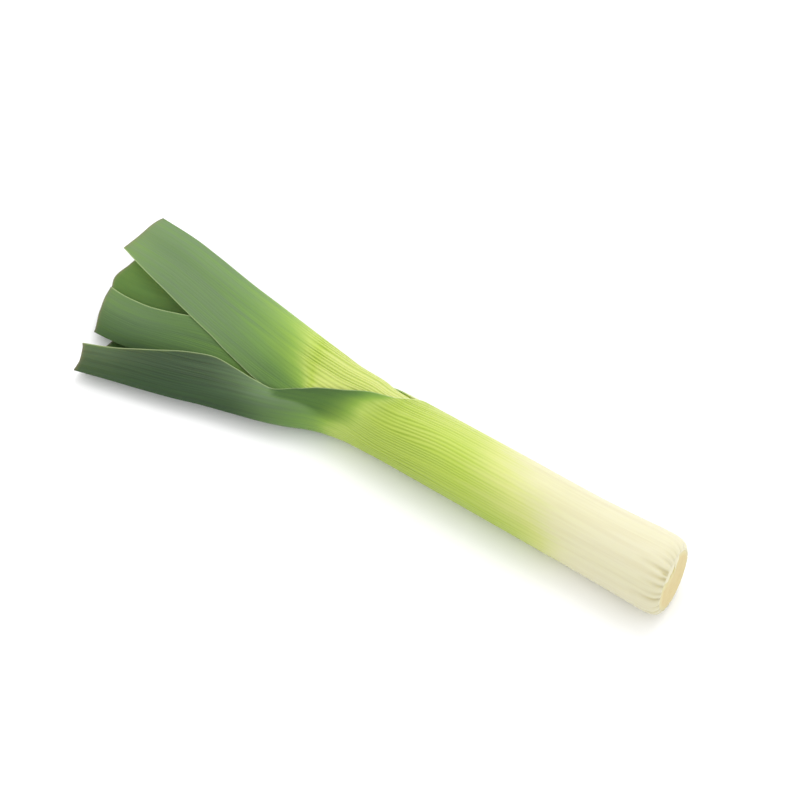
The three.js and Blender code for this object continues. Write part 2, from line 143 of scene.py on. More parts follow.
# Edge of the torn part of the disc, [rank, side].
TORN_LINE = [(-14, 16), (-10.5, 13.1), (-6.5, 9.9), (-3, 7.6), (0.5, 6.2), (2.6, 6.1), (6.5, 8.5), (8.8, 10.6),
             (11, 12.8), (14, 16)]
SHANK_AXIS_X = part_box("leaf_1")[1][0] / MM + ROOT_RIM_STATION - ROOT_SLANT
SHANK_AXIS_Y = (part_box("basal_plate")[0][1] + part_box("basal_plate")[1][1]) / 2 / MM

# ---- fineness of the finished leaves ----
# name: columns round the leaf, spacing of rows in the hidden sheath, and in the blade
FINENESS = {
    "leaf_1": (384, 4.5, 2.8),
    "leaf_2": (336, 16.0, 2.6),
    "leaf_3": (300, 18.0, 2.8),
    "leaf_4": (160, 20.0, 3.2),
    "leaf_5": (120, 20.0, 3.2),
    "leaf_6": (96, 20.0, 3.2),
}
# Names of the leaves that show, from the outermost inward; only their count is used.
OUTER_SLOTS = ("outer_leaf", "second_leaf", "third_leaf")
# Ribs all round each leaf.
RIBS = {"leaf_1": 70, "leaf_2": 56, "leaf_3": 50, "leaf_4": 40, "leaf_5": 30, "leaf_6": 24}

# Strength of the vein lines, [station, strength], 1 for the leaves not named.
VEINS = {
    "leaf_1": [(0, 0.7), (105, 0.75), (138, 0.85), (160, 1.35), (180, 1.4), (200, 0.65), (217, 0.3), (250, 0.4),
               (380, 0.8)],
    "leaf_2": [(0, 1.5), (200, 2), (236, 2), (250, 1.1), (262, 0.9), (380, 1)],
}
# Strength of the ribs, [station, strength]; the leaves not named here follow leaf_2.
RIB_STRENGTH = {
    "leaf_1": [(0, 0), (50, 0.08), (105, 0.36), (138, 0.62), (160, 1.0), (176, 1.12), (200, 0.75), (217, 0.4),
               (245, 0.22), (300, 0.16), (380, 0.14)],
    "leaf_2": [(0, 0), (150, 0), (180, 0.8), (200, 1), (225, 0.95), (240, 0.6), (256, 0.24), (300, 0.14), (380, 0.12)],
}

# Greenness along each leaf, [station, tone] with 0 the white root end and 1 the darkest blade,
# along the keel and along the back of the leaf, where its margins are.
TONE_KEEL = {
    "leaf_1": [(0, 0), (46, 0.06), (62, 0.18), (88, 0.38), (125, 0.46), (176, 0.47), (202, 0.5), (211, 0.58),
               (222, 0.78), (240, 0.88), (265, 0.96), (320, 1.0), (360, 0.97)],
    "leaf_2": [(0, 0), (150, 0.2), (180, 0.29), (205, 0.32), (232, 0.35), (243, 0.44), (252, 0.55), (260, 0.63),
               (270, 0.7), (290, 0.8), (315, 0.87), (350, 0.9), (380, 0.89)],
    "leaf_3": [(0, 0), (180, 0.2), (215, 0.38), (240, 0.58), (265, 0.78), (290, 0.88), (340, 0.94), (376, 0.9)],
    "leaf_4": [(0, 0), (190, 0.15), (230, 0.36), (265, 0.55), (300, 0.72), (360, 0.84)],
    "leaf_5": [(0, 0), (200, 0.12), (245, 0.32), (280, 0.5), (310, 0.62)],
    "leaf_6": [(0, 0), (210, 0.1), (260, 0.3), (300, 0.48)],
    "heart_leaf": [(0, 0), (220, 0.08), (290, 0.34)],
}
TONE_BACK = {
    "leaf_1": [(0, 0), (84, 0.06), (112, 0.2), (136, 0.35), (160, 0.36), (174, 0.39), (186, 0.47), (195, 0.58),
               (203, 0.73), (214, 0.85), (235, 0.91), (262, 0.95), (300, 1.0), (360, 0.96)],
    "leaf_2": [(0, 0), (150, 0.2), (180, 0.27), (205, 0.32), (229, 0.35), (237, 0.42), (243, 0.58), (251, 0.78),
               (266, 0.88), (310, 0.92), (350, 0.92), (380, 0.88)],
}
# Grey bloom on the outer face, [station, strength].
BLOOM_ALONG = {
    "leaf_1": [(0, 0), (204, 0.1), (224, 0.5), (246, 0.8), (262, 0.85), (300, 0.95), (360, 0.8)],
    "leaf_2": [(0, 0), (240, 0.1), (275, 0.4), (320, 0.75), (380, 0.85)],
    "leaf_3": [(0, 0), (250, 0.05), (320, 0.2), (345, 0.45), (376, 0.6)],
}
# Painted shade, [station, strength], along the keel and along the margins.
SHADE_KEEL = {
    "leaf_1": [(0, 0.14), (50, 0.15), (90, 0.32), (140, 0.4), (176, 0.38), (205, 0.34), (225, 0.33), (245, 0.58),
               (258, 0.9), (270, 1.1), (309, 1.1), (340, 1.0), (357, 0.95)],
    "leaf_2": NOWHERE,
    "leaf_3": [(0, 0), (250, 0.35), (300, 0.7), (376, 0.85)],
}
SHADE_MARGIN = {
    "leaf_1": [(0, 0), (130, 0), (165, 0.12), (188, 0.32), (205, 0.3), (240, 0.05), (258, 0.1), (266, 0.28),
               (276, 0.52), (290, 0.82), (309, 1.0), (330, 0.92), (345, 0.66), (357, 0.6)],
    "leaf_2": [(0, 0), (226, 0), (237, 0.3), (245, 0.5), (252, 0.5), (261, 0.42), (270, 0.24), (290, 0.08), (380, 0)],
    "leaf_3": [(0, 0), (250, 0.1), (376, 0.17)],
}
# Painted shade, a darker green, between the throat of the outer leaf and its fold.
SHADE_THROAT = [(0, 0), (188, 0.12), (204, 0.52), (212, 0.75), (220, 0.86), (251, 0.8)]
# Puckers of the outer skin round the root disc, their depth also drawn as painted shade: [share of half width, length,
# depth, width].
GATHERS = [(0.03, 18, 0.6, 0.02), (0.12, 8, 0.5, 0.014), (0.215, 21, 1.0, 0.018), (0.28, 12, 0.5, 0.016),
           (0.35, 16, 0.8, 0.018), (0.415, 14, 0.7, 0.016), (0.485, 20, 0.9, 0.018), (0.57, 15, 0.45, 0.018),
           (0.63, 10, 0.35, 0.016), (0.69, 9, 0.35, 0.014), (0.77, 7, 0.25, 0.014), (0.86, 6, 0.3, 0.012),
           (0.94, 6, 0.3, 0.012), (-0.06, 12, 0.6, 0.016), (-0.15, 18, 0.8, 0.018), (-0.24, 10, 0.5, 0.015),
           (-0.33, 16, 0.8, 0.018), (-0.41, 9, 0.5, 0.015), (-0.5, 14, 0.7, 0.018), (-0.58, 10, 0.4, 0.016),
           (-0.67, 15, 0.6, 0.018), (-0.76, 8, 0.4, 0.015), (-0.85, 12, 0.5, 0.016), (-0.93, 8, 0.35, 0.014)]
# Short torn folds where skin and disc meet, pressed in and given painted shade: [share, station, depth].
TEARS = [(0.43, 1.6, 0.3), (0.465, 2.4, 0.35), (0.5, 1.6, 0.2)]
# The fold beside the outer leaf's near margin, the edge of the bloom and of the painted shade of the throat, as [share
# of half width, station].
FOLD_LINE = [(0.0, 208), (0.2, 213), (0.34, 219.5), (0.46, 225), (0.55, 232), (0.64, 241), (0.8, 248.5), (1, 251)]

# ---- smaller sizes, shares and strengths ----
# Rows of the meshes: stations at the root end, then distances from the throat and from the cut.
ROOT_ROWS = [ROOT_RIM_STATION, 1.8, 2.1, 2.5, 3, 3.6, 4.3, 5.2, 6.2, 7.4, 8.6, 10, 11.5, 13, 14.6, 16.4, 18.4, 20.6,
             23, 26, 29]
THROAT_ROWS = [0.5, 1.1, 1.8, 2.6, 3.5, 4.5, 5.6, 7, 8.5, 10.2, 12]
CUT_ROWS = [-1.6, -0.7, -0.25, -0.02]
CUT_CLEARANCE = 3
# Coarse rows as far as the outer sheath covers a leaf, finer ones from there to its throat.
COVERED_END = 168
COVERED_GAP = 2
THROAT_ROW_STEP = 2.5
FEWEST_ROWS = 3
# Margins: how far in they are felt, their wall as a share of the leaf's own, and their rounding.
EDGE_REACH = 12
EDGE_WALL = (0.45, 0.55)
EDGE_WALL_RUN = 2.2
THINNEST_WALL = 0.32
EDGE_ROUNDING = 0.12
EDGE_ROUNDING_RUN = 0.8
# The pale line along a margin widens to a lip beside the throat; the dry line along a cut has one width.
LIP_WIDENING = 2.4
LIP_REACH = 9
TRIM_WIDTH = 0.8
# One unit of the leaves' map.
RIBS_PER_MAP = 10
LENGTH_PER_MAP = 100
# Ribs: where they fade beside a margin, the slant at which they fade, and how unevenly they are spaced.
RIB_FADE = (0.4, 1.6)
RIB_SLIP = 0.3
RIB_UNEVENNESS = ((0.4, 3), (0.18, 8))
RIB_CROWDING = 0.25
CROWDING_RUN = (20, 160)
RIB_DRIFT = 2.4
DRIFT_RUN = (-30, 20)
DRIFT_ACROSS = (0.03, 0.45)
GROOVE_SHARPNESS = 1.6
UNDULATION_SCALE = (14, 70, 70)
# Puckers: depth along one, [share of its length, share of its depth], and its widening.
GATHER_FADE = [(0, 0.5), (0.15, 1), (0.5, 0.5), (1, 0)]
GATHER_WIDENING = (0.8, 0.5)
# A torn fold's spread round the leaf and along it.
TEAR_SPREAD = (0.012, 1.6)
# How much further the green runs back beside the margins, between which shares and which stations it sets in; beside
# the near margin of leaf_2 it is partly the leaf's own green and partly painted shade cast by the outer leaf.
MARGIN_GREENING = {"leaf_1": (14, (0.8, 1), (176, 190)), "leaf_2": (14, (0.35, 0.8), (225, 238))}
# How far the back's paler tone reaches towards the keel; it lightens the middle of the visible side, partly the leaf's
# own tone and partly a painted highlight.
TONE_SPREAD = 0.85
# Width of the fold at its margin, and what the keel's side adds to it.
FOLD_WIDTH = (0.8, 9)
BLOOM_ACROSS = (0.1, 0.75)
# The painted shade lies nearer to the keel between two runs of stations.
SHADE_NARROWING = 0.28
SHADE_NARROWS = (62, 100)
SHADE_WIDENS = (190, 232)
SHADE_FROM = 0.05
SHADE_THROAT_ACROSS = (0.1, 0.5)
# Heart and root disc: rows of their meshes as (first, last, count), and the disc's full radius.
HEART_COLUMNS = 48
HEART_ROWS = ((HEART_START, 260, 20), (264, HEART_END, 12))
PLATE_COLUMNS = 240
PLATE_RINGS = ((1.2, 9, 7), (9.6, PLATE_FACE[-1][0], 22))
PLATE_REACH = 18
PLATE_RIM_RUN = (16.4, 17.4)
# Skin over the rim of the disc: radius of its edge, the lap along its top between its angles, tongues as
# (length, angle, spread) and raggedness as (size, waves, shift).
SKIN_RIM = 17.7
SKIN_LAP = 3.3
SKIN_LAP_FROM = (0.78, 0.92)
SKIN_LAP_TO = (1.8, 2.0)
SKIN_TONGUES = ((3.4, 1.13, 0.06), (1.3, 1.5, 0.13))
SKIN_RAGGEDNESS = ((0.25, 9, 1), (0.15, 23, 0))
SKIN_SOFTNESS = 0.3
SKIN_RAISED = 0.22
SKIN_RAISED_RUN = (0, 16)
# Torn part of the disc and its slits: raggedness as (size, waves), heights, and where the slits are.
TORN_RAGGEDNESS = (0.3, 2.1)
TORN_SOFTNESS = 0.7
TORN_RAISED = 0.08
SLIT_SUNK = 0.15
LONG_SLIT = {"middle": (3.9, 12.6), "direction": (0.68, 0.73), "spread": (2.6, 0.6)}
ROUND_SLIT = {"depth": 0.5, "angle": (1.6, 0.1), "radius": (12.4, 1.2)}
DISC_SEED = 7.0
DISC_GRAIN_SCALE = 320.0

# ---- looks ----
# Colours of the outer and the inner face by greenness.
OUTER_COLOURS = [(0.0, "root_white"), (0.13, "shank_cream"), (0.26, "pale_yellow"), (0.42, "yellow_green"),
                 (0.54, "light_green"), (0.68, "leaf_green"), (0.84, "deep_green"), (1.0, "blue_green")]
INNER_COLOURS = [(0.0, "root_white"), (0.2, "shank_cream"), (0.42, "pale_yellow"), (0.62, "yellow_green"),
                 (0.8, "inner_green"), (1.0, "inner_deep")]
# Streaks: how close they lie across, along and through, then detail and roughness.
GRAIN = {
    "broad": ((1.6, 0.9, 1.0), 2.0, 0.5),
    "streaks": ((7.0, 1.1, 1.0), 3.0, 0.55),
    "threads": ((30.0, 2.4, 1.0), 2.0, 0.6),
    "dull": ((13.0, 1.6, 1.0), 3.0, 0.6),
    "fine": ((60.0, 8.0, 1.0), 4.0, 0.6),
}
# How far the first three move the greenness, and how the bloom follows the streaks (slope, least).
GRAIN_SHIFT = (0.12, 0.14, 0.06)
BLOOM_STREAKS = (0.9, 0.15)
# Painted shade: the green it darkens towards and how far; then how far the dull streaks darken, and the most they take
# from painted shade and bloom together.
SHADE_GREEN = (0.0, 0.022, 0.003)
SHADE_AMOUNT = 0.66
DUSK_AMOUNT = 0.62
MOST_SHADED_BLOOM = 0.8
VEIN_SHARPNESS = 2.6
VEIN_AMOUNT = 0.6
STAIN_AMOUNT = 0.42
EDGE_LINE_WIDTH = 0.75
EDGE_LINE_AMOUNT = 0.72
DRY_CUT_AMOUNT = 0.85
# How deep the painted shade is in the puckers and in the torn folds, and its most in the folds.
PUCKER_SHADE_AMOUNT = 0.8
TEAR_AMOUNT = 2.2
MOST_TORN = 0.8
# Masks by greenness or by streaks, [value, strength].
DARK_BLADE = [(0.72, 0), (0.95, 1)]
DULL_STREAKS = [(0.38, 0), (0.72, 1)]
VEINS_VISIBLE = [(0.0, 0), (0.13, 0.05), (0.3, 0.55), (0.42, 1), (0.55, 0.9), (0.66, 0.15), (1.0, 0.04)]
VEIN_PATCHES = [(0.32, 0.3), (0.62, 1)]
PALE_SHANK = [(0.0, 1), (0.12, 1), (0.26, 0)]
STAIN_STREAKS = [(0.36, 1), (0.56, 0)]
LEAF_ROUGHNESS = [(0.0, 0.36), (0.5, 0.42), (1.0, 0.58)]
DISC_RIM = [(0.8, 0), (0.92, 1)]
# Bump as (strength, distance), flesh under the skin as (weight, radius), in metres.
LEAF_BUMP = (0.5, 0.0003)
LEAF_FLESH = (0.1, (0.004, 0.0035, 0.0012))
LEAF_SPECULAR = 0.24
DISC_BUMP = (0.35, 0.0004)
DISC_FLESH = (0.08, (0.003, 0.002, 0.001))
DISC_ROUGHNESS = 0.7
# Root disc: noises as (scale, detail, roughness), their shares, and what covers the tan flesh, innermost first; the
# slits get painted shade.
DISC_FIBRES = (900.0, 4.0, 0.6)
DISC_BLOTCHES = (160.0, 3.0, 0.5)
DISC_MOTTLING = (0.7, 0.3)
DISC_COVERS = (("torn", 0.8, "disc_flesh"), ("rim", 0.5, "shank_cream"), ("skin", 1.0, "root_white"),
               ("slit", 0.9, "slit_shade"))

# ---- stage, in metres, and camera ----
FLOOR_REACH = 6.0
FLOOR_DROP = 0.0003
SKY_STRENGTH = 1.18
KEY_PLACE = (-0.15, 0.85, 1.7)
KEY_SIZE = 1.4
KEY_POWER = 10
CAMERA_AZIMUTH = math.radians(34.2)
CAMERA_ELEVATION = math.radians(55)
CAMERA_DISTANCE = 2.0
CAMERA_FOCAL_PIXELS = 3539
# From the middle of the root end, in millimetres.
CAMERA_TARGET = (-196.4, 28.0, 0.0)
FRAME_PIXELS = 800
SENSOR = 36.0


# ---------------------------------------------------------------- shape

def track(table, at):
    """Smooth monotone curve through the pairs of a table."""
    pairs = np.array(table, dtype=float)
    x, y = pairs[:, 0], pairs[:, 1]
    step = np.diff(x)
    slope = np.diff(y) / step
    tangent = np.zeros(len(x))
    tangent[0], tangent[-1] = slope[0], slope[-1]
    for n in range(1, len(x) - 1):
        if slope[n - 1] * slope[n] > 0:
            w1 = 2 * step[n] + step[n - 1]
            w2 = step[n] + 2 * step[n - 1]
            tangent[n] = (w1 + w2) / (w1 / slope[n - 1] + w2 / slope[n])
    at = np.clip(np.asarray(at, dtype=float), x[0], x[-1])
    i = np.clip(np.searchsorted(x, at, side="right") - 1, 0, len(x) - 2)
    q = (at - x[i]) / step[i]
    r = 1 - q
    value = y[i] * (1 + 2 * q) * r * r + y[i + 1] * q * q * (3 - 2 * q)
    return value + step[i] * (tangent[i] * q * r * r - tangent[i + 1] * q * q * r)


def smoothstep(at, low, high):
    q = np.clip((at - low) / (high - low), 0, 1)
    return q * q * (3 - 2 * q)


def spot(*ways):
    """1 in the middle of a soft spot; each way is the distance from it and the spread that way."""
    return np.exp(sum(-(distance / spread) ** 2 for distance, spread in ways))


def bend_radius(order, station):
    outermost = np.where(station < SHANK_END, track(SHANK_RADIUS, station), track(BLADE_BEND_RADIUS, station))
    return outermost - order * track(LEAF_STEP, station)


def axis_height(station):
    shank = track(SHANK_RADIUS, np.maximum(station, ROOT_AXIS_STATION)) - RESTING_FLAT_DEPTH
    return np.where(station > SHANK_END, track(BLADE_AXIS_HEIGHT, station), shank)


def fan_to_pose(station, rank, side):
    """Fan space to the lying pose: rank runs across the fan, side stands off it."""
    station, rank, side = np.broadcast_arrays(station, rank, side)
    wave = np.sin(station / WAVE_SPACING[0] + rank / WAVE_SPACING[1])
    offset = side + smoothstep(station, *WAVE_RUN) * WAVE_HEIGHT * wave
    tilt = math.sin(FAN_TILT)
    bend = FAN_BEND / np.maximum(smoothstep(station, *FAN_LEVEL), LEAST_LEVELLING)
    beyond = np.maximum(-rank - FAN_STRAIGHT, 0)
    fade = np.exp(-beyond / bend)
    slope = tilt * fade
    # Half the square of the slope, summed along the bend.
    shortening = 0.25 * tilt * tilt * bend * (1 - fade * fade)
    low = beyond > 0
    across = np.where(low, -FAN_STRAIGHT * math.cos(FAN_TILT) - (beyond - shortening), math.cos(FAN_TILT) * rank)
    rise = np.where(low, -tilt * (FAN_STRAIGHT + bend * (1 - fade)), tilt * rank)
    y = across - offset * slope
    z = axis_height(station) + rise + offset * np.sqrt(1 - slope * slope)
    slant = ROOT_SLANT * (1 - smoothstep(station, *ROOT_SLANT_RUN)) * (0.5 - rank / (2 * SHANK_RADIUS[0][1]))
    return np.stack([SHANK_AXIS_X - station + slant, SHANK_AXIS_Y + y, np.maximum(z, 0)], axis=-1) * MM


def axis_point(station):
    zero = np.zeros(1)
    return fan_to_pose(np.array([float(station)]), zero, zero)[0]


def keel_distance(order, station):
    """From the axis to the keel; the order past the last leaf is the heart's."""
    keel = HEART_KEEL if order == HEART_ORDER else LEAVES[order]["keel"]
    shank = bend_radius(order, np.minimum(station, SHANK_END))
    return np.where(station <= SHANK_END, shank, track(keel, station))


def keel_bend(radius, station, turn):
    """Bend at the keel, from a crease to the straight side: its start angle, radius and depth."""
    crease = np.radians(track(KEEL_CREASE, station)) * turn / QUARTER_TURN
    bend = radius * np.sin(turn) / (np.sin(turn) - np.sin(crease))
    return crease, bend, bend * (np.cos(crease) - np.cos(turn))


def section_gap(order, station):
    """Length of the straight side between the bend at the keel and the bend at the back."""
    keel = keel_distance(order, station)
    opposite = keel if order == HEART_ORDER else keel_distance(order + 1, station) + SHEATH_SPACING
    radius = bend_radius(order, station)
    depth = keel_bend(radius, station, QUARTER_TURN)[2]
    return np.maximum(keel + opposite - radius - depth, 0)


def closed_width(order, station):
    """Half the girth of a closed sheath."""
    radius = bend_radius(order, station)
    crease, bend, _ = keel_bend(radius, station, QUARTER_TURN)
    return bend * (QUARTER_TURN - crease) + section_gap(order, station) + QUARTER_TURN * radius


def half_section(along, radius, station, turn, gap):
    """Bend at the keel, straight side, bend back: depth and side, then their normal."""
    crease, bend, _ = keel_bend(radius, station, turn)
    first = bend * (turn - crease)
    angle = crease + np.minimum(along, first) / bend
    straight = np.clip(along - first, 0, gap)
    second = turn + np.maximum(along - first - gap, 0) / radius
    depth = bend * (np.cos(crease) - np.cos(angle)) + straight * np.sin(turn) + radius * (np.cos(turn) - np.cos(second))
    side = bend * (np.sin(angle) - np.sin(crease)) + straight * np.cos(turn) + radius * (np.sin(second) - np.sin(turn))
    angle = angle + second - turn
    return depth, side, -np.cos(angle), np.sin(angle)


def half_width(leaf, order, station, near):
    """From the keel to a margin along the leaf; both halves are closed below the throat."""
    closed = closed_width(order, station)
    throat = leaf["throat"]
    first = (throat, float(closed_width(order, np.array(float(throat)))))
    widths = [np.minimum(closed, track([first] + leaf[key][1:], station)) for key in ("far", "near")]
    return np.where(station <= throat, closed, np.where(near, widths[1], widths[0]))


def leaf_points(leaf, order, station, share, inset):
    """Points of a leaf: share runs from -1 (far margin) over 0 (keel) to 1 (near margin)."""
    near = share >= 0
    radius = bend_radius(order, station)
    gap = section_gap(order, station)
    width = half_width(leaf, order, station, near)
    near_lean, far_lean = (track(leaf.get(key, NOWHERE), station) for key in ("near_lean", "far_lean"))
    lean = np.radians(np.where(station > leaf["throat"], np.where(near, near_lean, far_lean), 0))
    depth, side, normal_depth, normal_side = half_section(np.abs(share) * width, radius, station,
                                                          QUARTER_TURN - lean, gap)
    depth = depth - inset * normal_depth
    side = side - inset * normal_side
    rank = leaf["rank"] * (keel_distance(order, station) - depth)
    return fan_to_pose(station, rank, np.where(near, side, -side))


def cut_station(leaf, row, share):
    """Stretches the last rows of a leaf so that they end along its cut."""
    end = track(leaf["cut"], 0.0)
    fixed = end - CUT_REACH
    stretch = (row - fixed) * (track(leaf["cut"], share) - fixed) / (end - fixed)
    return np.where(row <= fixed, row, fixed + stretch)


def leaf_rows(leaf, sheath_step, blade_step):
    """Stations of a leaf's rows, closer at the root end, the throat and the cut."""
    throat, end = leaf["throat"], float(track(leaf["cut"], 0.0))
    parts = []
    shank_from = leaf["start"]
    if leaf is LEAVES[0]:
        parts.append(ROOT_ROWS)
        shank_from = ROOT_ROWS[-1] + sheath_step
    covered = min(throat, COVERED_END)
    parts.append(np.linspace(shank_from, covered, max(FEWEST_ROWS, int((covered - shank_from) / sheath_step))))
    if throat > covered + 2 * COVERED_GAP:
        rows = max(FEWEST_ROWS, int((throat - covered) / THROAT_ROW_STEP))
        parts.append(np.linspace(covered + COVERED_GAP, throat, rows))
    parts.append(throat + np.array(THROAT_ROWS))
    blade_from, blade_to = throat + THROAT_ROWS[-1], end - CUT_CLEARANCE
    parts.append(np.linspace(blade_from + blade_step, blade_to, int((blade_to - blade_from) / blade_step)))
    parts.append(end + np.array(CUT_ROWS))
    return np.unique(np.round(np.concatenate(parts), 3))


def leaf_fields(leaf, order, station, share, width, margin, to_cut):
    """What the relief and the skin read at each point, by name."""
    name, throat = leaf["name"], leaf["throat"]
    edge = np.minimum(margin, to_cut)
    phase = rib_phase(leaf, order, station, share * width)
    slip = np.abs(np.gradient(phase, axis=0))
    strength = track(RIB_STRENGTH.get(name, RIB_STRENGTH["leaf_2"]), station)
    lip = 1 + LIP_WIDENING * spot((station - throat, LIP_REACH))
    return {
        "tone": leaf_tone(name, station, share),
        "edge": np.minimum(margin, EDGE_REACH) / lip,
        "trim": np.exp(-to_cut / TRIM_WIDTH),
        "rib_phase": phase,
        "rib_gain": strength * smoothstep(edge, *RIB_FADE) * spot((slip, RIB_SLIP)),
        "gather": gather_depth(leaf, station, share),
        "tear": tear_depth(leaf, station, share),
        "bloom": leaf_bloom(name, station, share),
        "vein": track(VEINS.get(name, EVERYWHERE), station),
        # painted shade, from the tables above
        "shade": leaf_shade(name, station, share),
    }


def shell_faces(outer, inner, uv, open_above, turned):
    """Quads of a closed shell and their map: both faces, the margins, then the two ends."""
    faces, uvs = [], []

    def add(flip, *corners):
        quads = np.stack([points for points, _ in corners], axis=-1).reshape(-1, 4)
        maps = np.stack([place for _, place in corners], axis=-2).reshape(-1, 4, 2)
        faces.append(quads[:, ::-1] if flip else quads)
        uvs.append(maps[:, ::-1] if flip else maps)

    low, high = slice(0, -1), slice(1, None)
    for grid, flip in ((outer, turned), (inner, not turned)):
        add(flip, *((grid[a, b], uv[a, b]) for a, b in ((low, low), (high, low), (high, high), (low, high))))
    for column, flip in ((0, not turned), (-1, turned)):
        o, n, m = outer[:, column], inner[:, column], uv[:, column]
        add(flip, *((line[part][open_above], m[part][open_above])
                    for line, part in ((o, low), (o, high), (n, high), (n, low))))
    for row, flip in ((0, not turned), (-1, turned)):
        o, n, m = outer[row], inner[row], uv[row]
        add(flip, *((line[part], m[part]) for line, part in ((o, low), (n, low), (n, high), (o, high))))
    return np.concatenate(faces), np.concatenate(uvs)


def leaf_mesh(leaf, order, columns, sheath_step, blade_step):
    """One closed shell with its margins, its attributes and a UV map that follows the ribs."""
    throat = leaf["throat"]
    rows = leaf_rows(leaf, sheath_step, blade_step)
    row_grid, share = np.meshgrid(rows, np.linspace(-1, 1, columns + 1), indexing="ij")
    station = cut_station(leaf, row_grid, share)
    width = half_width(leaf, order, station, share >= 0)
    margin = np.hypot((1 - np.abs(share)) * width, np.maximum(throat - station, 0))
    to_cut = np.maximum(track(leaf["cut"], share) - station, 0)
    edge = np.clip(np.minimum(margin, to_cut), 0, EDGE_REACH)
    wall = track(leaf["wall"], station)
    thin = EDGE_WALL[0] + EDGE_WALL[1] * smoothstep(edge, 0, EDGE_WALL_RUN)
    wall = np.where(station > throat, np.maximum(wall * thin, THINNEST_WALL), wall)
    outer = leaf_points(leaf, order, station, share, EDGE_ROUNDING * (1 - smoothstep(edge, 0, EDGE_ROUNDING_RUN)))
    inner = leaf_points(leaf, order, station, share, wall)

    closed_rows = rows <= throat
    outer_index = np.arange(station.size).reshape(station.shape)
    outer_index[closed_rows, -1] = outer_index[closed_rows, 0]
    inner_index = outer_index + station.size
    fields = leaf_fields(leaf, order, station, share, width, margin, to_cut)
    uv = np.stack([fields["rib_phase"] / RIBS_PER_MAP, station / LENGTH_PER_MAP], axis=-1)
    faces, uvs = shell_faces(outer_index, inner_index, uv, ~closed_rows[1:], leaf["rank"] < 0)
    points = np.concatenate([outer.reshape(-1, 3), inner.reshape(-1, 3)])
    values = {key: np.tile(field.ravel(), 2) for key, field in fields.items()}
    values["outer"] = np.concatenate([np.ones(station.size), np.zeros(station.size)])
    return mesh_from_arrays(leaf["name"], points, faces, uvs, values, 2 * columns)


def add_values(mesh, values):
    for key, value in values.items():
        mesh.attributes.new(key, "FLOAT", "POINT").data.foreach_set("value", value.astype(np.float32))


def mesh_from_arrays(name, points, faces, uvs, values, flat_faces):
    """A mesh with its attributes, smooth but for its last faces, the ends of the leaf."""
    used = np.unique(faces)
    renumber = np.full(len(points), -1)
    renumber[used] = np.arange(len(used))
    mesh = bpy.data.meshes.new(name)
    mesh.from_pydata(points[used].tolist(), [], renumber[faces].tolist())
    mesh.uv_layers.new(name="leaf_uv").data.foreach_set("uv", uvs.reshape(-1))
    add_values(mesh, {key: value[used] for key, value in values.items()})
    mesh.polygons.foreach_set("use_smooth", np.arange(len(faces)) < len(faces) - flat_faces)
    mesh.update()
    return mesh


def leaf_tone(name, station, share):
    """Greenness, from the keel's own to the back's."""
    ahead, across, along = MARGIN_GREENING.get(name, (0, (0, 1), (0, 1)))
    beside_margin = ahead * smoothstep(np.abs(share), *across) * smoothstep(station, *along)
    keel = track(TONE_KEEL[name], station)
    back = track(TONE_BACK.get(name, TONE_KEEL[name]), station + beside_margin)
    return keel + (back - keel) * 0.5 * (1 - np.cos(math.pi * np.abs(share) ** TONE_SPREAD))


def beyond_fold(station, share):
    """0 to 1 across the fold of the outer leaf, sharp at its margin and soft towards the keel."""
    towards_margin = np.clip(share, 0, 1)
    soft = FOLD_WIDTH[0] + FOLD_WIDTH[1] * (1 - towards_margin)
    return smoothstep((station - track(FOLD_LINE, towards_margin)) / soft, -1, 1)


def leaf_bloom(name, station, share):
    if name not in BLOOM_ALONG:
        return np.zeros_like(station)
    bloom = track(BLOOM_ALONG[name], station)
    if name == "leaf_1":
        bloom = bloom * beyond_fold(station, share)
    return bloom if name == "leaf_2" else bloom * (0.5 + 0.5 * smoothstep(np.abs(share), *BLOOM_ACROSS))


def leaf_shade(name, station, share):
    """Painted shade on the outer leaves, from the keel's own to the margins'."""
    if name not in SHADE_KEEL:
        return np.zeros_like(station)
    keel = track(SHADE_KEEL[name], station)
    reach = 1 - SHADE_NARROWING * smoothstep(station, *SHADE_NARROWS) * (1 - smoothstep(station, *SHADE_WIDENS))
    shade = keel + (track(SHADE_MARGIN[name], station) - keel) * smoothstep(np.abs(share) / reach, SHADE_FROM, 1)
    if name == "leaf_1":
        fold = beyond_fold(station, share)
        throat = np.maximum(track(SHADE_THROAT, station) * smoothstep(share, *SHADE_THROAT_ACROSS), shade)
        shade = shade * fold + throat * (1 - fold)
    return shade


def rib_phase(leaf, order, station, distance):
    """Ribs counted from the keel: each keeps its distance from it, so the narrowing blade cuts some off."""
    throat = leaf["throat"]
    across = distance / closed_width(order, np.minimum(station, throat))
    turns = 2 * math.pi * across
    phase = across * (RIBS[leaf["name"]] / 2)
    for size, waves in RIB_UNEVENNESS:
        phase = phase + size * np.sin(waves * turns)
    phase = phase * (1 + RIB_CROWDING * smoothstep(station, throat + CROWDING_RUN[0], throat + CROWDING_RUN[1]))
    if leaf is LEAVES[0]:
        drift = RIB_DRIFT * smoothstep(station, throat + DRIFT_RUN[0], throat + DRIFT_RUN[1])
        phase = phase + drift * np.sign(across) * smoothstep(np.abs(across), *DRIFT_ACROSS)
    return phase


def gather_depth(leaf, station, share):
    """Puckers where the outer skin is drawn in round the root disc."""
    depth = np.zeros_like(station)
    if leaf is LEAVES[0]:
        for place, length, size, width in GATHERS:
            away = (share - place + 1) % 2 - 1
            spread = width * (GATHER_WIDENING[0] + GATHER_WIDENING[1] * station / length)
            depth = np.maximum(depth, size * track(GATHER_FADE, station / length) * spot((away, spread)))
    return depth


def tear_depth(leaf, station, share):
    """Torn folds of skin at the rim of the root disc."""
    depth = np.zeros_like(station)
    if leaf is LEAVES[0]:
        for place, along, size in TEARS:
            depth = np.maximum(depth, size * spot((share - place, TEAR_SPREAD[0]), (station - along, TEAR_SPREAD[1])))
    return depth


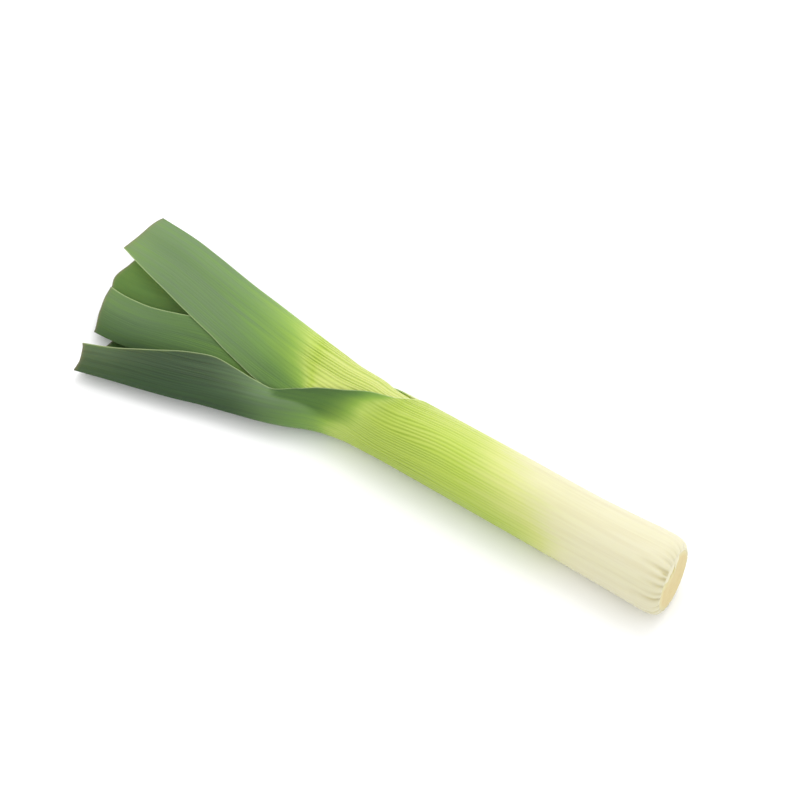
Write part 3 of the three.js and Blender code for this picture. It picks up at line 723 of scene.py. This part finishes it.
def ring_mesh(name, rings, front, back, values):
    """Rings of points closed at both ends by a centre point."""
    count = rings.shape[1]
    points = np.concatenate([front[None], rings.reshape(-1, 3), back[None]])
    faces = []
    last = len(points) - 1
    end = last - count
    for c in range(count):
        d = (c + 1) % count
        faces.append((0, 1 + c, 1 + d))
        faces.append((last, end + d, end + c))
        for a in range(1, end, count):
            faces.append((a + c, a + count + c, a + count + d, a + d))
    mesh = bpy.data.meshes.new(name)
    mesh.from_pydata(points.tolist(), [], faces)
    add_values(mesh, {key: np.pad(value.ravel(), 1, mode="edge") for key, value in values.items()})
    mesh.polygons.foreach_set("use_smooth", np.ones(len(mesh.polygons), dtype=bool))
    mesh.update()
    return mesh


def heart_mesh():
    stations = np.concatenate([np.linspace(*rows) for rows in HEART_ROWS])
    share = 1 - 2 * np.arange(HEART_COLUMNS) / HEART_COLUMNS
    station, share = np.meshgrid(stations, share, indexing="ij")
    radius, gap = bend_radius(HEART_ORDER, station), section_gap(HEART_ORDER, station)
    taper = track(HEART_TAPER, station)
    along = np.abs(share) * closed_width(HEART_ORDER, station)
    depth, side, _, _ = half_section(along, radius, station, QUARTER_TURN, gap)
    rank = -(keel_distance(HEART_ORDER, station) - depth) * taper
    rings = fan_to_pose(station, rank, np.where(share >= 0, side, -side) * taper)
    values = {"tone": leaf_tone("heart_leaf", station, share), "edge": np.full_like(station, EDGE_REACH),
              "outer": np.ones_like(station)}
    return ring_mesh("heart_leaf", rings, axis_point(HEART_START), axis_point(HEART_END), values)


def skin_over_disc(angle, radius):
    """How far the leaf skin laps over the rim of the disc, most along its top, with torn tongues."""
    lap = smoothstep(angle, *SKIN_LAP_FROM) * (1 - smoothstep(angle, *SKIN_LAP_TO))
    limit = SKIN_RIM - SKIN_LAP * lap
    for length, middle, spread in SKIN_TONGUES:
        limit = limit - length * spot((angle - middle, spread))
    for size, waves, shift in SKIN_RAGGEDNESS:
        limit = limit + size * np.sin(angle * waves + shift)
    return smoothstep(radius, limit - SKIN_SOFTNESS, limit + SKIN_SOFTNESS)


def disc_slits(rank, side, angle, radius):
    """The two slits in the cut face, 1 where they are deepest."""
    off_rank, off_side = rank - LONG_SLIT["middle"][0], side - LONG_SLIT["middle"][1]
    c, s = LONG_SLIT["direction"]
    ahead, aside = c * off_rank + s * off_side, s * off_rank - c * off_side
    long_slit = spot((ahead, LONG_SLIT["spread"][0]), (aside, LONG_SLIT["spread"][1]))
    (middle_angle, wide), (middle_radius, high) = ROUND_SLIT["angle"], ROUND_SLIT["radius"]
    return long_slit + ROUND_SLIT["depth"] * spot((angle - middle_angle, wide), (radius - middle_radius, high))


def plate_mesh():
    reach = np.concatenate([np.linspace(*rings) for rings in PLATE_RINGS])
    profile = np.concatenate([np.stack([track(PLATE_FACE, reach), reach], axis=-1), np.array(PLATE_BEHIND)])
    angle = 2 * math.pi * np.arange(PLATE_COLUMNS) / PLATE_COLUMNS
    station = np.repeat(profile[:, :1], PLATE_COLUMNS, axis=1)
    radius = np.repeat(profile[:, 1:], PLATE_COLUMNS, axis=1)
    rank, side = radius * np.cos(angle), radius * np.sin(angle)
    on_face = np.arange(len(profile))[:, None] < len(reach)
    skin = skin_over_disc(angle, radius)
    ragged = TORN_RAGGEDNESS[0] * np.sin(rank * TORN_RAGGEDNESS[1])
    torn = smoothstep(side - track(TORN_LINE, rank) + ragged, -TORN_SOFTNESS, TORN_SOFTNESS)
    slit = disc_slits(rank, side, angle, radius) * on_face
    inside_rim = 1 - smoothstep(radius, *PLATE_RIM_RUN)
    raised = skin * smoothstep(radius, *SKIN_RAISED_RUN) * inside_rim
    station = station - on_face * (SKIN_RAISED * raised + TORN_RAISED * torn * inside_rim - SLIT_SUNK * slit)
    values = {"reach": radius / PLATE_REACH, "face": on_face * np.ones_like(station), "slit": slit, "skin": skin,
              "torn": torn * on_face}
    return ring_mesh("basal_plate", fan_to_pose(station, rank, side), axis_point(PLATE_FACE[0][1]),
                     axis_point(PLATE_BEHIND[-1][0]), values)


# ---------------------------------------------------------------- nodes

def put(tree, socket, value):
    """Links a node's output to a socket, or sets the socket to a number, a colour or a vector."""
    if hasattr(value, "is_output"):
        tree.links.new(value, socket)
    elif socket.type == "RGBA":
        socket.default_value = (*value, 1.0)
    else:
        socket.default_value = value


def node_of(tree, kind, inputs=(), **settings):
    """A new node with its settings and inputs, the inputs by name or by number."""
    node = tree.nodes.new(kind)
    for key, value in settings.items():
        setattr(node, key, value)
    for key, value in dict(inputs).items():
        put(tree, node.inputs[key], value)
    return node


def maths(tree, operation, *values):
    return node_of(tree, "ShaderNodeMath", enumerate(values), operation=operation).outputs[0]


def times(tree, first, second):
    return maths(tree, "MULTIPLY", first, second)


def plus(tree, first, second):
    return maths(tree, "ADD", first, second)


def new_tree(name, inputs):
    """A geometry tree with named inputs; returns the tree and its input node."""
    tree = bpy.data.node_groups.new(name, "GeometryNodeTree")
    tree.interface.new_socket("Geometry", in_out="INPUT", socket_type="NodeSocketGeometry")
    for label, default in inputs:
        tree.interface.new_socket(label, in_out="INPUT", socket_type="NodeSocketFloat").default_value = default
    tree.interface.new_socket("Skin", in_out="INPUT", socket_type="NodeSocketMaterial")
    tree.interface.new_socket("Geometry", in_out="OUTPUT", socket_type="NodeSocketGeometry")
    return tree, tree.nodes.new("NodeGroupInput")


def named(tree, key):
    node = node_of(tree, "GeometryNodeInputNamedAttribute", {"Name": key}, data_type="FLOAT")
    return node.outputs["Attribute"]


def seeded_noise(tree, given, vector, scale, detail):
    inputs = {"Vector": vector, "W": given.outputs["Seed"], "Scale": scale, "Detail": detail}
    return node_of(tree, "ShaderNodeTexNoise", inputs, noise_dimensions="4D").outputs[0]


def finish_tree(tree, given, offset):
    """Ends a tree by moving its points, realizing what it made and giving it its skin."""
    move = node_of(tree, "GeometryNodeSetPosition", {"Geometry": given.outputs["Geometry"], "Offset": offset})
    realize = node_of(tree, "GeometryNodeRealizeInstances", {0: move.outputs[0]})
    skinned = {"Geometry": realize.outputs[0], "Material": given.outputs["Skin"]}
    paint = node_of(tree, "GeometryNodeSetMaterial", skinned)
    node_of(tree, "NodeGroupOutput", {0: paint.outputs[0]})
    return tree


def relief_tree():
    """Presses ribs and root puckers into the outer face of a leaf."""
    tree, given = new_tree("leek_relief", [("Rib depth", 0.0002), ("Gather depth", 0.001), ("Undulation", 0.0002),
                                           ("Seed", 3.0)])
    wave = maths(tree, "SINE", times(tree, named(tree, "rib_phase"), math.pi))
    groove = maths(tree, "POWER", maths(tree, "SUBTRACT", 1.0, maths(tree, "ABSOLUTE", wave)), GROOVE_SHARPNESS)
    ribs = times(tree, times(tree, groove, named(tree, "rib_gain")), given.outputs["Rib depth"])
    gathers = times(tree, plus(tree, named(tree, "gather"), named(tree, "tear")), given.outputs["Gather depth"])
    place = tree.nodes.new("GeometryNodeInputPosition").outputs[0]
    stretch = node_of(tree, "ShaderNodeVectorMath", {0: place, 1: UNDULATION_SCALE}, operation="MULTIPLY")
    noise = seeded_noise(tree, given, stretch.outputs[0], 1.0, 2.0)
    undulation = times(tree, noise, given.outputs["Undulation"])
    total = plus(tree, plus(tree, ribs, gathers), undulation)
    depth = times(tree, times(tree, total, named(tree, "outer")), -1.0)
    normal = tree.nodes.new("GeometryNodeInputNormal").outputs[0]
    offset = node_of(tree, "ShaderNodeVectorMath", {0: normal, "Scale": depth}, operation="SCALE")
    return finish_tree(tree, given, offset.outputs[0])


def disc_tree():
    """Roughens the cut face of the root disc and opens the slits at its rim."""
    tree, given = new_tree("leek_disc", [("Roughness", 0.0003), ("Slit depth", 0.002), ("Seed", DISC_SEED)])
    place = tree.nodes.new("GeometryNodeInputPosition").outputs[0]
    noise = seeded_noise(tree, given, place, DISC_GRAIN_SCALE, 3.0)
    grain = times(tree, times(tree, noise, named(tree, "face")), given.outputs["Roughness"])
    slits = times(tree, named(tree, "slit"), given.outputs["Slit depth"])
    depth = times(tree, plus(tree, grain, slits), -1.0)
    return finish_tree(tree, given, node_of(tree, "ShaderNodeCombineXYZ", {0: depth}).outputs[0])


def add_piece(name, mesh):
    piece = bpy.data.objects.new(name, mesh)
    bpy.context.scene.collection.objects.link(piece)
    return piece


def grown(name, mesh, tree, settings):
    """Runs a geometry tree on a mesh and keeps the result as a plain mesh object."""
    piece = add_piece(name, mesh)
    modifier = piece.modifiers.new(tree.name, "NODES")
    modifier.node_group = tree
    for item in tree.interface.items_tree:
        if item.item_type == "SOCKET" and item.in_out == "INPUT" and item.name in settings:
            modifier[item.identifier] = settings[item.name]
    bpy.context.view_layer.update()
    depsgraph = bpy.context.evaluated_depsgraph_get()
    plain = bpy.data.meshes.new_from_object(piece.evaluated_get(depsgraph), preserve_all_data_layers=True,
                                            depsgraph=depsgraph)
    piece.modifiers.remove(modifier)
    piece.data = plain
    plain.name = name + "_mesh"
    return piece


def settle(piece, node):
    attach(piece, "root")
    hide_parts(node)


# ---------------------------------------------------------------- materials

def linear(colour):
    """A display colour in 0 to 255 as linear light."""
    return tuple(c / 12.92 if c <= 0.04045 else ((c + 0.055) / 1.055) ** 2.4 for c in (v / 255 for v in colour))


def ramp(tree, factor, stops):
    """A colour ramp; each stop is a position and a colour."""
    node = node_of(tree, "ShaderNodeValToRGB", {0: factor})
    elements = node.color_ramp.elements
    while len(elements) > 1:
        elements.remove(elements[-1])
    for n, (position, colour) in enumerate(stops):
        element = elements[0] if n == 0 else elements.new(position)
        element.position = position
        element.color = (*colour, 1.0)
    return node.outputs["Color"]


def mask(tree, factor, stops):
    """A ramp of greys; each stop is a position and a strength."""
    return ramp(tree, factor, [(position, (strength,) * 3) for position, strength in stops])


def mix(tree, factor, first, second, blend="MIX"):
    inputs = {0: factor, 6: first, 7: second}
    return node_of(tree, "ShaderNodeMix", inputs, data_type="RGBA", blend_type=blend).outputs[2]


def tinted(tree, amount, colour, tint):
    """Multiplies a colour by a tint, as far as the amount says."""
    return mix(tree, amount, colour, mix(tree, 1.0, colour, tint, "MULTIPLY"))


def noise_of(tree, vector, scale, detail, roughness):
    inputs = {"Vector": vector, "Scale": scale, "Detail": detail, "Roughness": roughness}
    return node_of(tree, "ShaderNodeTexNoise", inputs).outputs[0]


def grain_of(tree, along, key):
    """Streaks along a leaf, by their name in GRAIN."""
    scale, detail, roughness = GRAIN[key]
    stretched = node_of(tree, "ShaderNodeMapping", {"Vector": along, "Scale": scale})
    return noise_of(tree, stretched.outputs[0], 1.0, detail, roughness)


def attribute(tree, name):
    return node_of(tree, "ShaderNodeAttribute", attribute_name=name).outputs["Fac"]


def object_place(tree):
    return tree.nodes.new("ShaderNodeTexCoord").outputs["Object"]


def new_material(name):
    material = bpy.data.materials.new(name)
    material.use_nodes = True
    return material, material.node_tree, material.node_tree.nodes["Principled BSDF"]


def set_surface(tree, shader, colour, height, bump, flesh):
    """Colour, bump as (strength, distance) and flesh as (weight, radius) of a shader."""
    put(tree, shader.inputs["Base Color"], colour)
    raised = node_of(tree, "ShaderNodeBump", {"Strength": bump[0], "Distance": bump[1], "Height": height})
    put(tree, shader.inputs["Normal"], raised.outputs[0])
    shader.inputs["Subsurface Weight"].default_value = flesh[0]
    shader.inputs["Subsurface Radius"].default_value = flesh[1]
    shader.inputs["Subsurface Scale"].default_value = 1.0


def green_skin(tree, look, tone, streaks, grain):
    """White to green by the tone, with its streaks, on the outer and the inner face."""
    shifted = tone
    for noise, amount in zip(grain, GRAIN_SHIFT):
        shifted = plus(tree, shifted, times(tree, maths(tree, "SUBTRACT", noise, 0.5), amount))
    outside = ramp(tree, shifted, [(position, getattr(look, key)) for position, key in OUTER_COLOURS])
    waxy = plus(tree, times(tree, streaks, BLOOM_STREAKS[0]), BLOOM_STREAKS[1])
    outside = mix(tree, times(tree, attribute(tree, "bloom"), waxy), outside, look.bloom)
    inside = ramp(tree, shifted, [(position, getattr(look, key)) for position, key in INNER_COLOURS])
    return mix(tree, attribute(tree, "outer"), inside, outside)


def darkened(tree, look, along, tone, colour):
    """Painted shade, a deeper green on the leaf, with dull streaks where painted shade and bloom meet that deepen it
    further.
    """
    shade = attribute(tree, "shade")
    colour = mix(tree, times(tree, shade, SHADE_AMOUNT), colour, SHADE_GREEN)
    dull = times(tree, mask(tree, tone, DARK_BLADE), mask(tree, grain_of(tree, along, "dull"), DULL_STREAKS))
    # The dull streaks follow the painted shade together with the bloom.
    shaded_bloom = maths(tree, "MINIMUM", times(tree, shade, attribute(tree, "bloom")), MOST_SHADED_BLOOM)
    return mix(tree, times(tree, dull, shaded_bloom), colour, tinted(tree, DUSK_AMOUNT, colour, look.dusk))


def vein_lines(tree, along, tone, streaks):
    """Fine lines between the ribs, strongest in the yellow green."""
    across = node_of(tree, "ShaderNodeSeparateXYZ", {0: along}).outputs[0]
    line = maths(tree, "ABSOLUTE", maths(tree, "COSINE", times(tree, across, RIBS_PER_MAP * math.pi)))
    visible = times(tree, mask(tree, streaks, VEIN_PATCHES), mask(tree, tone, VEINS_VISIBLE))
    amount = times(tree, maths(tree, "POWER", line, VEIN_SHARPNESS), visible)
    return times(tree, amount, attribute(tree, "vein"))


def edged(tree, look, tone, streaks, colour):
    """Stains of the white shank, pale margins, dry cut ends, and painted shade in the puckers and torn folds."""
    stains = times(tree, mask(tree, streaks, STAIN_STREAKS), mask(tree, tone, PALE_SHANK))
    colour = tinted(tree, times(tree, stains, STAIN_AMOUNT), colour, look.stain)
    edge = maths(tree, "DIVIDE", attribute(tree, "edge"), EDGE_LINE_WIDTH)
    rim = maths(tree, "SUBTRACT", 1.0, maths(tree, "SMOOTH_MIN", edge, 1.0, 0.2))
    rim = times(tree, maths(tree, "MAXIMUM", rim, 0.0), EDGE_LINE_AMOUNT)
    line = ramp(tree, tone, [(0.5, look.pale_lip), (0.72, look.cut_edge)])
    colour = mix(tree, rim, colour, line)
    colour = mix(tree, times(tree, attribute(tree, "trim"), DRY_CUT_AMOUNT), colour, look.dry_cut)
    # painted shade at the bottom of the puckers
    colour = mix(tree, times(tree, attribute(tree, "gather"), PUCKER_SHADE_AMOUNT), colour, look.pucker_shade)
    # Painted shade in the torn folds.
    torn = maths(tree, "MINIMUM", times(tree, attribute(tree, "tear"), TEAR_AMOUNT), MOST_TORN)
    return mix(tree, torn, colour, look.slit_shade)


def leaf_material(name, ribbed=True):
    """Leaf skin: white shank to blue-green blade, fine veins, bloom and pale cut edges."""
    look = bpy.context.scene.leek_colours
    material, tree, shader = new_material(name)
    along = node_of(tree, "ShaderNodeUVMap", uv_map="leaf_uv").outputs[0] if ribbed else object_place(tree)
    tone = attribute(tree, "tone")
    grain = [grain_of(tree, along, key) for key in ("broad", "streaks", "threads")]
    streaks = grain[1]
    colour = green_skin(tree, look, tone, streaks, grain)
    colour = darkened(tree, look, along, tone, colour)
    height = grain_of(tree, along, "fine")
    if ribbed:
        lines = vein_lines(tree, along, tone, streaks)
        colour = tinted(tree, times(tree, lines, VEIN_AMOUNT), colour, look.vein)
        height = maths(tree, "SUBTRACT", times(tree, height, 0.5), lines)
    colour = edged(tree, look, tone, streaks, colour)
    put(tree, shader.inputs["Roughness"], mask(tree, tone, LEAF_ROUGHNESS))
    set_surface(tree, shader, colour, height, LEAF_BUMP, LEAF_FLESH)
    shader.inputs["Specular IOR Level"].default_value = LEAF_SPECULAR
    return material


def disc_material():
    """Cut face of the root disc: tan and fibrous, paler towards its rim, with painted shade in its slits."""
    look = bpy.context.scene.leek_colours
    material, tree, shader = new_material("root_disc")
    where = object_place(tree)
    fibres, blotches = noise_of(tree, where, *DISC_FIBRES), noise_of(tree, where, *DISC_BLOTCHES)
    mottled = plus(tree, times(tree, blotches, DISC_MOTTLING[0]), times(tree, fibres, DISC_MOTTLING[1]))
    colour = ramp(tree, mottled, [(0.3, look.disc_dark), (0.6, look.disc_tan)])
    covers = {"torn": attribute(tree, "torn"), "rim": mask(tree, attribute(tree, "reach"), DISC_RIM),
              "skin": attribute(tree, "skin"), "slit": attribute(tree, "slit")}
    for key, amount, over in DISC_COVERS:
        colour = mix(tree, times(tree, covers[key], amount), colour, getattr(look, over))
    shader.inputs["Roughness"].default_value = DISC_ROUGHNESS
    set_surface(tree, shader, colour, fibres, DISC_BUMP, DISC_FLESH)
    return material


def stage_material():
    material, _, shader = new_material("studio_floor")
    shader.inputs["Base Color"].default_value = (0.96, 0.96, 0.96, 1.0)
    shader.inputs["Roughness"].default_value = 0.9
    shader.inputs["Specular IOR Level"].default_value = 0.1
    return material


# ---------------------------------------------------------------- settings

def length_setting(label, words, default):
    return FloatProperty(name=label, description=words, default=default, min=0.0, unit="LENGTH", precision=5)


def colour_setting(label, words, colour):
    return FloatVectorProperty(name=label, description=words, default=linear(colour), subtype="COLOR", size=3,
                               min=0.0, max=1.0)


class LeekReliefSettings(bpy.types.PropertyGroup):
    rib_depth: length_setting("Rib depth", "Depth of the grooves between the long ribs", 0.00022)
    gather_depth: length_setting("Gather depth", "Depth of the puckers round the root disc", 0.0009)
    undulation: length_setting("Undulation", "Soft unevenness of the skin", 0.0003)
    disc_roughness: length_setting("Disc roughness", "Unevenness of the cut root disc", 0.0003)
    slit_depth: length_setting("Slit depth", "Depth of the slits in the cut root disc", 0.0015)


class LeekColourSettings(bpy.types.PropertyGroup):
    root_white: colour_setting("Root white", "Shank beside the root disc", (217, 212, 183))
    shank_cream: colour_setting("Shank cream", "White of the shank", (216, 213, 170))
    pale_yellow: colour_setting("Pale yellow", "Where the white turns", (206, 211, 129))
    yellow_green: colour_setting("Yellow green", "Upper shank", (183, 204, 84))
    light_green: colour_setting("Light green", "Base of the blades", (183, 204, 97))
    leaf_green: colour_setting("Leaf green", "Lower blade", (144, 179, 68))
    deep_green: colour_setting("Deep green", "Middle of the blade", (108, 147, 61))
    blue_green: colour_setting("Blue green", "Dark end of the blade", (76, 103, 64))
    bloom: colour_setting("Bloom", "Grey wax bloom on the outer face", (117, 136, 107))
    vein: colour_setting("Vein", "Tint of the veins between the ribs", (196, 208, 138))
    inner_green: colour_setting("Inner green", "Inner face of a blade", (112, 150, 71))
    inner_deep: colour_setting("Inner deep green", "Inner face near the cut", (88, 126, 57))
    cut_edge: colour_setting("Cut edge", "Thin pale line along the margins", (178, 198, 136))
    pale_lip: colour_setting("Pale lip", "Margins beside the throat", (236, 242, 196))
    dry_cut: colour_setting("Dry cut", "Dried ends of the blades", (116, 104, 92))
    # Dull streaks that deepen the painted shade of the blades.
    dusk: colour_setting("Dusk", "Dull streaks in the dark of the blades", (117, 92, 98))
    disc_flesh: colour_setting("Disc flesh", "Torn yellow part of the disc", (206, 196, 145))
    stain: colour_setting("Stain", "Soft streaks in the white shank", (240, 236, 218))
    # Painted shade at the bottom of the puckers round the root disc.
    pucker_shade: colour_setting("Wrinkle", "Bottom of the puckers round the root disc", (184, 174, 128))
    disc_tan: colour_setting("Disc tan", "Cut root disc", (207, 191, 140))
    disc_dark: colour_setting("Disc dark", "Darker fibres of the disc", (202, 184, 133))
    # Painted shade in the slits of the disc and in the torn folds at its rim.
    slit_shade: colour_setting("Disc slit", "Slits in the disc and torn folds at its rim", (176, 164, 106))


# ---------------------------------------------------------------- operators

def make_leaf(order):
    leaf = LEAVES[order]
    sizes = bpy.context.scene.leek_relief
    mesh = leaf_mesh(leaf, order, *FINENESS[leaf["name"]])
    tree = bpy.data.node_groups.get("leek_relief") or relief_tree()
    settings = {"Rib depth": sizes.rib_depth, "Gather depth": sizes.gather_depth, "Undulation": sizes.undulation,
                "Seed": float(order), "Skin": leaf_material(leaf["name"] + "_skin")}
    settle(grown(leaf["name"] + "_fine", mesh, tree, settings), leaf["name"])


class LEEK_OT_outer_leaves(bpy.types.Operator):
    """Makes the three leaves that show, with their sheaths, ribs and cut ends"""
    bl_idname = "leek.outer_leaves"
    bl_label = "Outer leaves"

    def execute(self, context):
        for order, slot in enumerate(OUTER_SLOTS):
            make_leaf(order)
        return {"FINISHED"}


class LEEK_OT_inner_leaves(bpy.types.Operator):
    """Makes the folded young leaves inside the fan"""
    bl_idname = "leek.inner_leaves"
    bl_label = "Inner leaves"

    def execute(self, context):
        for order in range(len(OUTER_SLOTS), len(LEAVES)):
            make_leaf(order)
        return {"FINISHED"}


class LEEK_OT_heart(bpy.types.Operator):
    """Makes the rolled heart leaf"""
    bl_idname = "leek.heart"
    bl_label = "Heart leaf"

    def execute(self, context):
        mesh = heart_mesh()
        mesh.materials.append(leaf_material("heart_skin", ribbed=False))
        settle(add_piece("heart_leaf_fine", mesh), "heart_leaf")
        return {"FINISHED"}


class LEEK_OT_root_disc(bpy.types.Operator):
    """Makes the trimmed root disc"""
    bl_idname = "leek.root_disc"
    bl_label = "Root disc"

    def execute(self, context):
        sizes = context.scene.leek_relief
        settings = {"Roughness": sizes.disc_roughness, "Slit depth": sizes.slit_depth, "Seed": DISC_SEED,
                    "Skin": disc_material()}
        settle(grown("basal_plate_fine", plate_mesh(), disc_tree(), settings), "basal_plate")
        return {"FINISHED"}


def looking(direction):
    """Turn of a lamp or a camera that faces that way."""
    return direction.to_track_quat("-Z", "Y").to_euler()


def add_floor(scene):
    mesh = bpy.data.meshes.new("studio_floor")
    corners = ((-1, -1), (1, -1), (1, 1), (-1, 1))
    mesh.from_pydata([(x * FLOOR_REACH, y * FLOOR_REACH, 0) for x, y in corners], [], [(0, 1, 2, 3)])
    mesh.materials.append(stage_material())
    floor = bpy.data.objects.new("studio_floor", mesh)
    floor.location = (0, 0, -FLOOR_DROP)
    scene.collection.objects.link(floor)


def add_lights(scene):
    world = bpy.data.worlds.new("studio")
    world.use_nodes = True
    background = world.node_tree.nodes["Background"]
    background.inputs["Color"].default_value = (1, 1, 1, 1)
    background.inputs["Strength"].default_value = SKY_STRENGTH
    scene.world = world
    key = bpy.data.lights.new("key", "AREA")
    key.shape = "DISK"
    key.size = KEY_SIZE
    key.energy = KEY_POWER
    lamp = bpy.data.objects.new("key", key)
    scene.collection.objects.link(lamp)
    lamp.location = KEY_PLACE
    lamp.rotation_euler = looking(-Vector(KEY_PLACE))


def add_camera(scene):
    level = math.cos(CAMERA_ELEVATION)
    back = Vector((math.sin(CAMERA_AZIMUTH) * level, -math.cos(CAMERA_AZIMUTH) * level, math.sin(CAMERA_ELEVATION)))
    target = Vector((SHANK_AXIS_X + CAMERA_TARGET[0], SHANK_AXIS_Y + CAMERA_TARGET[1], CAMERA_TARGET[2])) * MM
    lens = bpy.data.cameras.new("camera")
    lens.sensor_width = SENSOR
    lens.lens = CAMERA_FOCAL_PIXELS / FRAME_PIXELS * SENSOR
    camera = bpy.data.objects.new("camera", lens)
    camera.location = target + back * CAMERA_DISTANCE
    camera.rotation_euler = looking(-back)
    scene.collection.objects.link(camera)
    scene.camera = camera


class LEEK_OT_stage(bpy.types.Operator):
    """Sets out the pale floor, the soft lights and the camera"""
    bl_idname = "leek.stage"
    bl_label = "Stage"

    def execute(self, context):
        add_floor(context.scene)
        add_lights(context.scene)
        add_camera(context.scene)
        context.scene.view_settings.view_transform = "Standard"
        return {"FINISHED"}


class LEEK_PT_panel(bpy.types.Panel):
    """Sizes, colours and making steps of the leek"""
    bl_label = "Leek"
    bl_idname = "LEEK_PT_panel"
    bl_space_type = "VIEW_3D"
    bl_region_type = "UI"
    bl_category = "Leek"

    def draw(self, context):
        column = self.layout.column()
        for group in (context.scene.leek_relief, context.scene.leek_colours):
            for key in group.bl_rna.properties.keys():
                if key not in ("rna_type", "name"):
                    column.prop(group, key)
        for operator in OPERATORS:
            column.operator(operator.bl_idname)


OPERATORS = (LEEK_OT_stage, LEEK_OT_outer_leaves, LEEK_OT_inner_leaves, LEEK_OT_heart, LEEK_OT_root_disc)
CLASSES = (LeekReliefSettings, LeekColourSettings, *OPERATORS, LEEK_PT_panel)


def register():
    for cls in CLASSES:
        bpy.utils.register_class(cls)
    bpy.types.Scene.leek_relief = PointerProperty(type=LeekReliefSettings)
    bpy.types.Scene.leek_colours = PointerProperty(type=LeekColourSettings)


def unregister():
    del bpy.types.Scene.leek_colours
    del bpy.types.Scene.leek_relief
    for cls in reversed(CLASSES):
        bpy.utils.unregister_class(cls)


def main():
    register()
    bpy.ops.leek.stage()
    bpy.ops.leek.outer_leaves()
    bpy.ops.leek.inner_leaves()
    bpy.ops.leek.heart()
    bpy.ops.leek.root_disc()


if __name__ == "__main__":
    main()
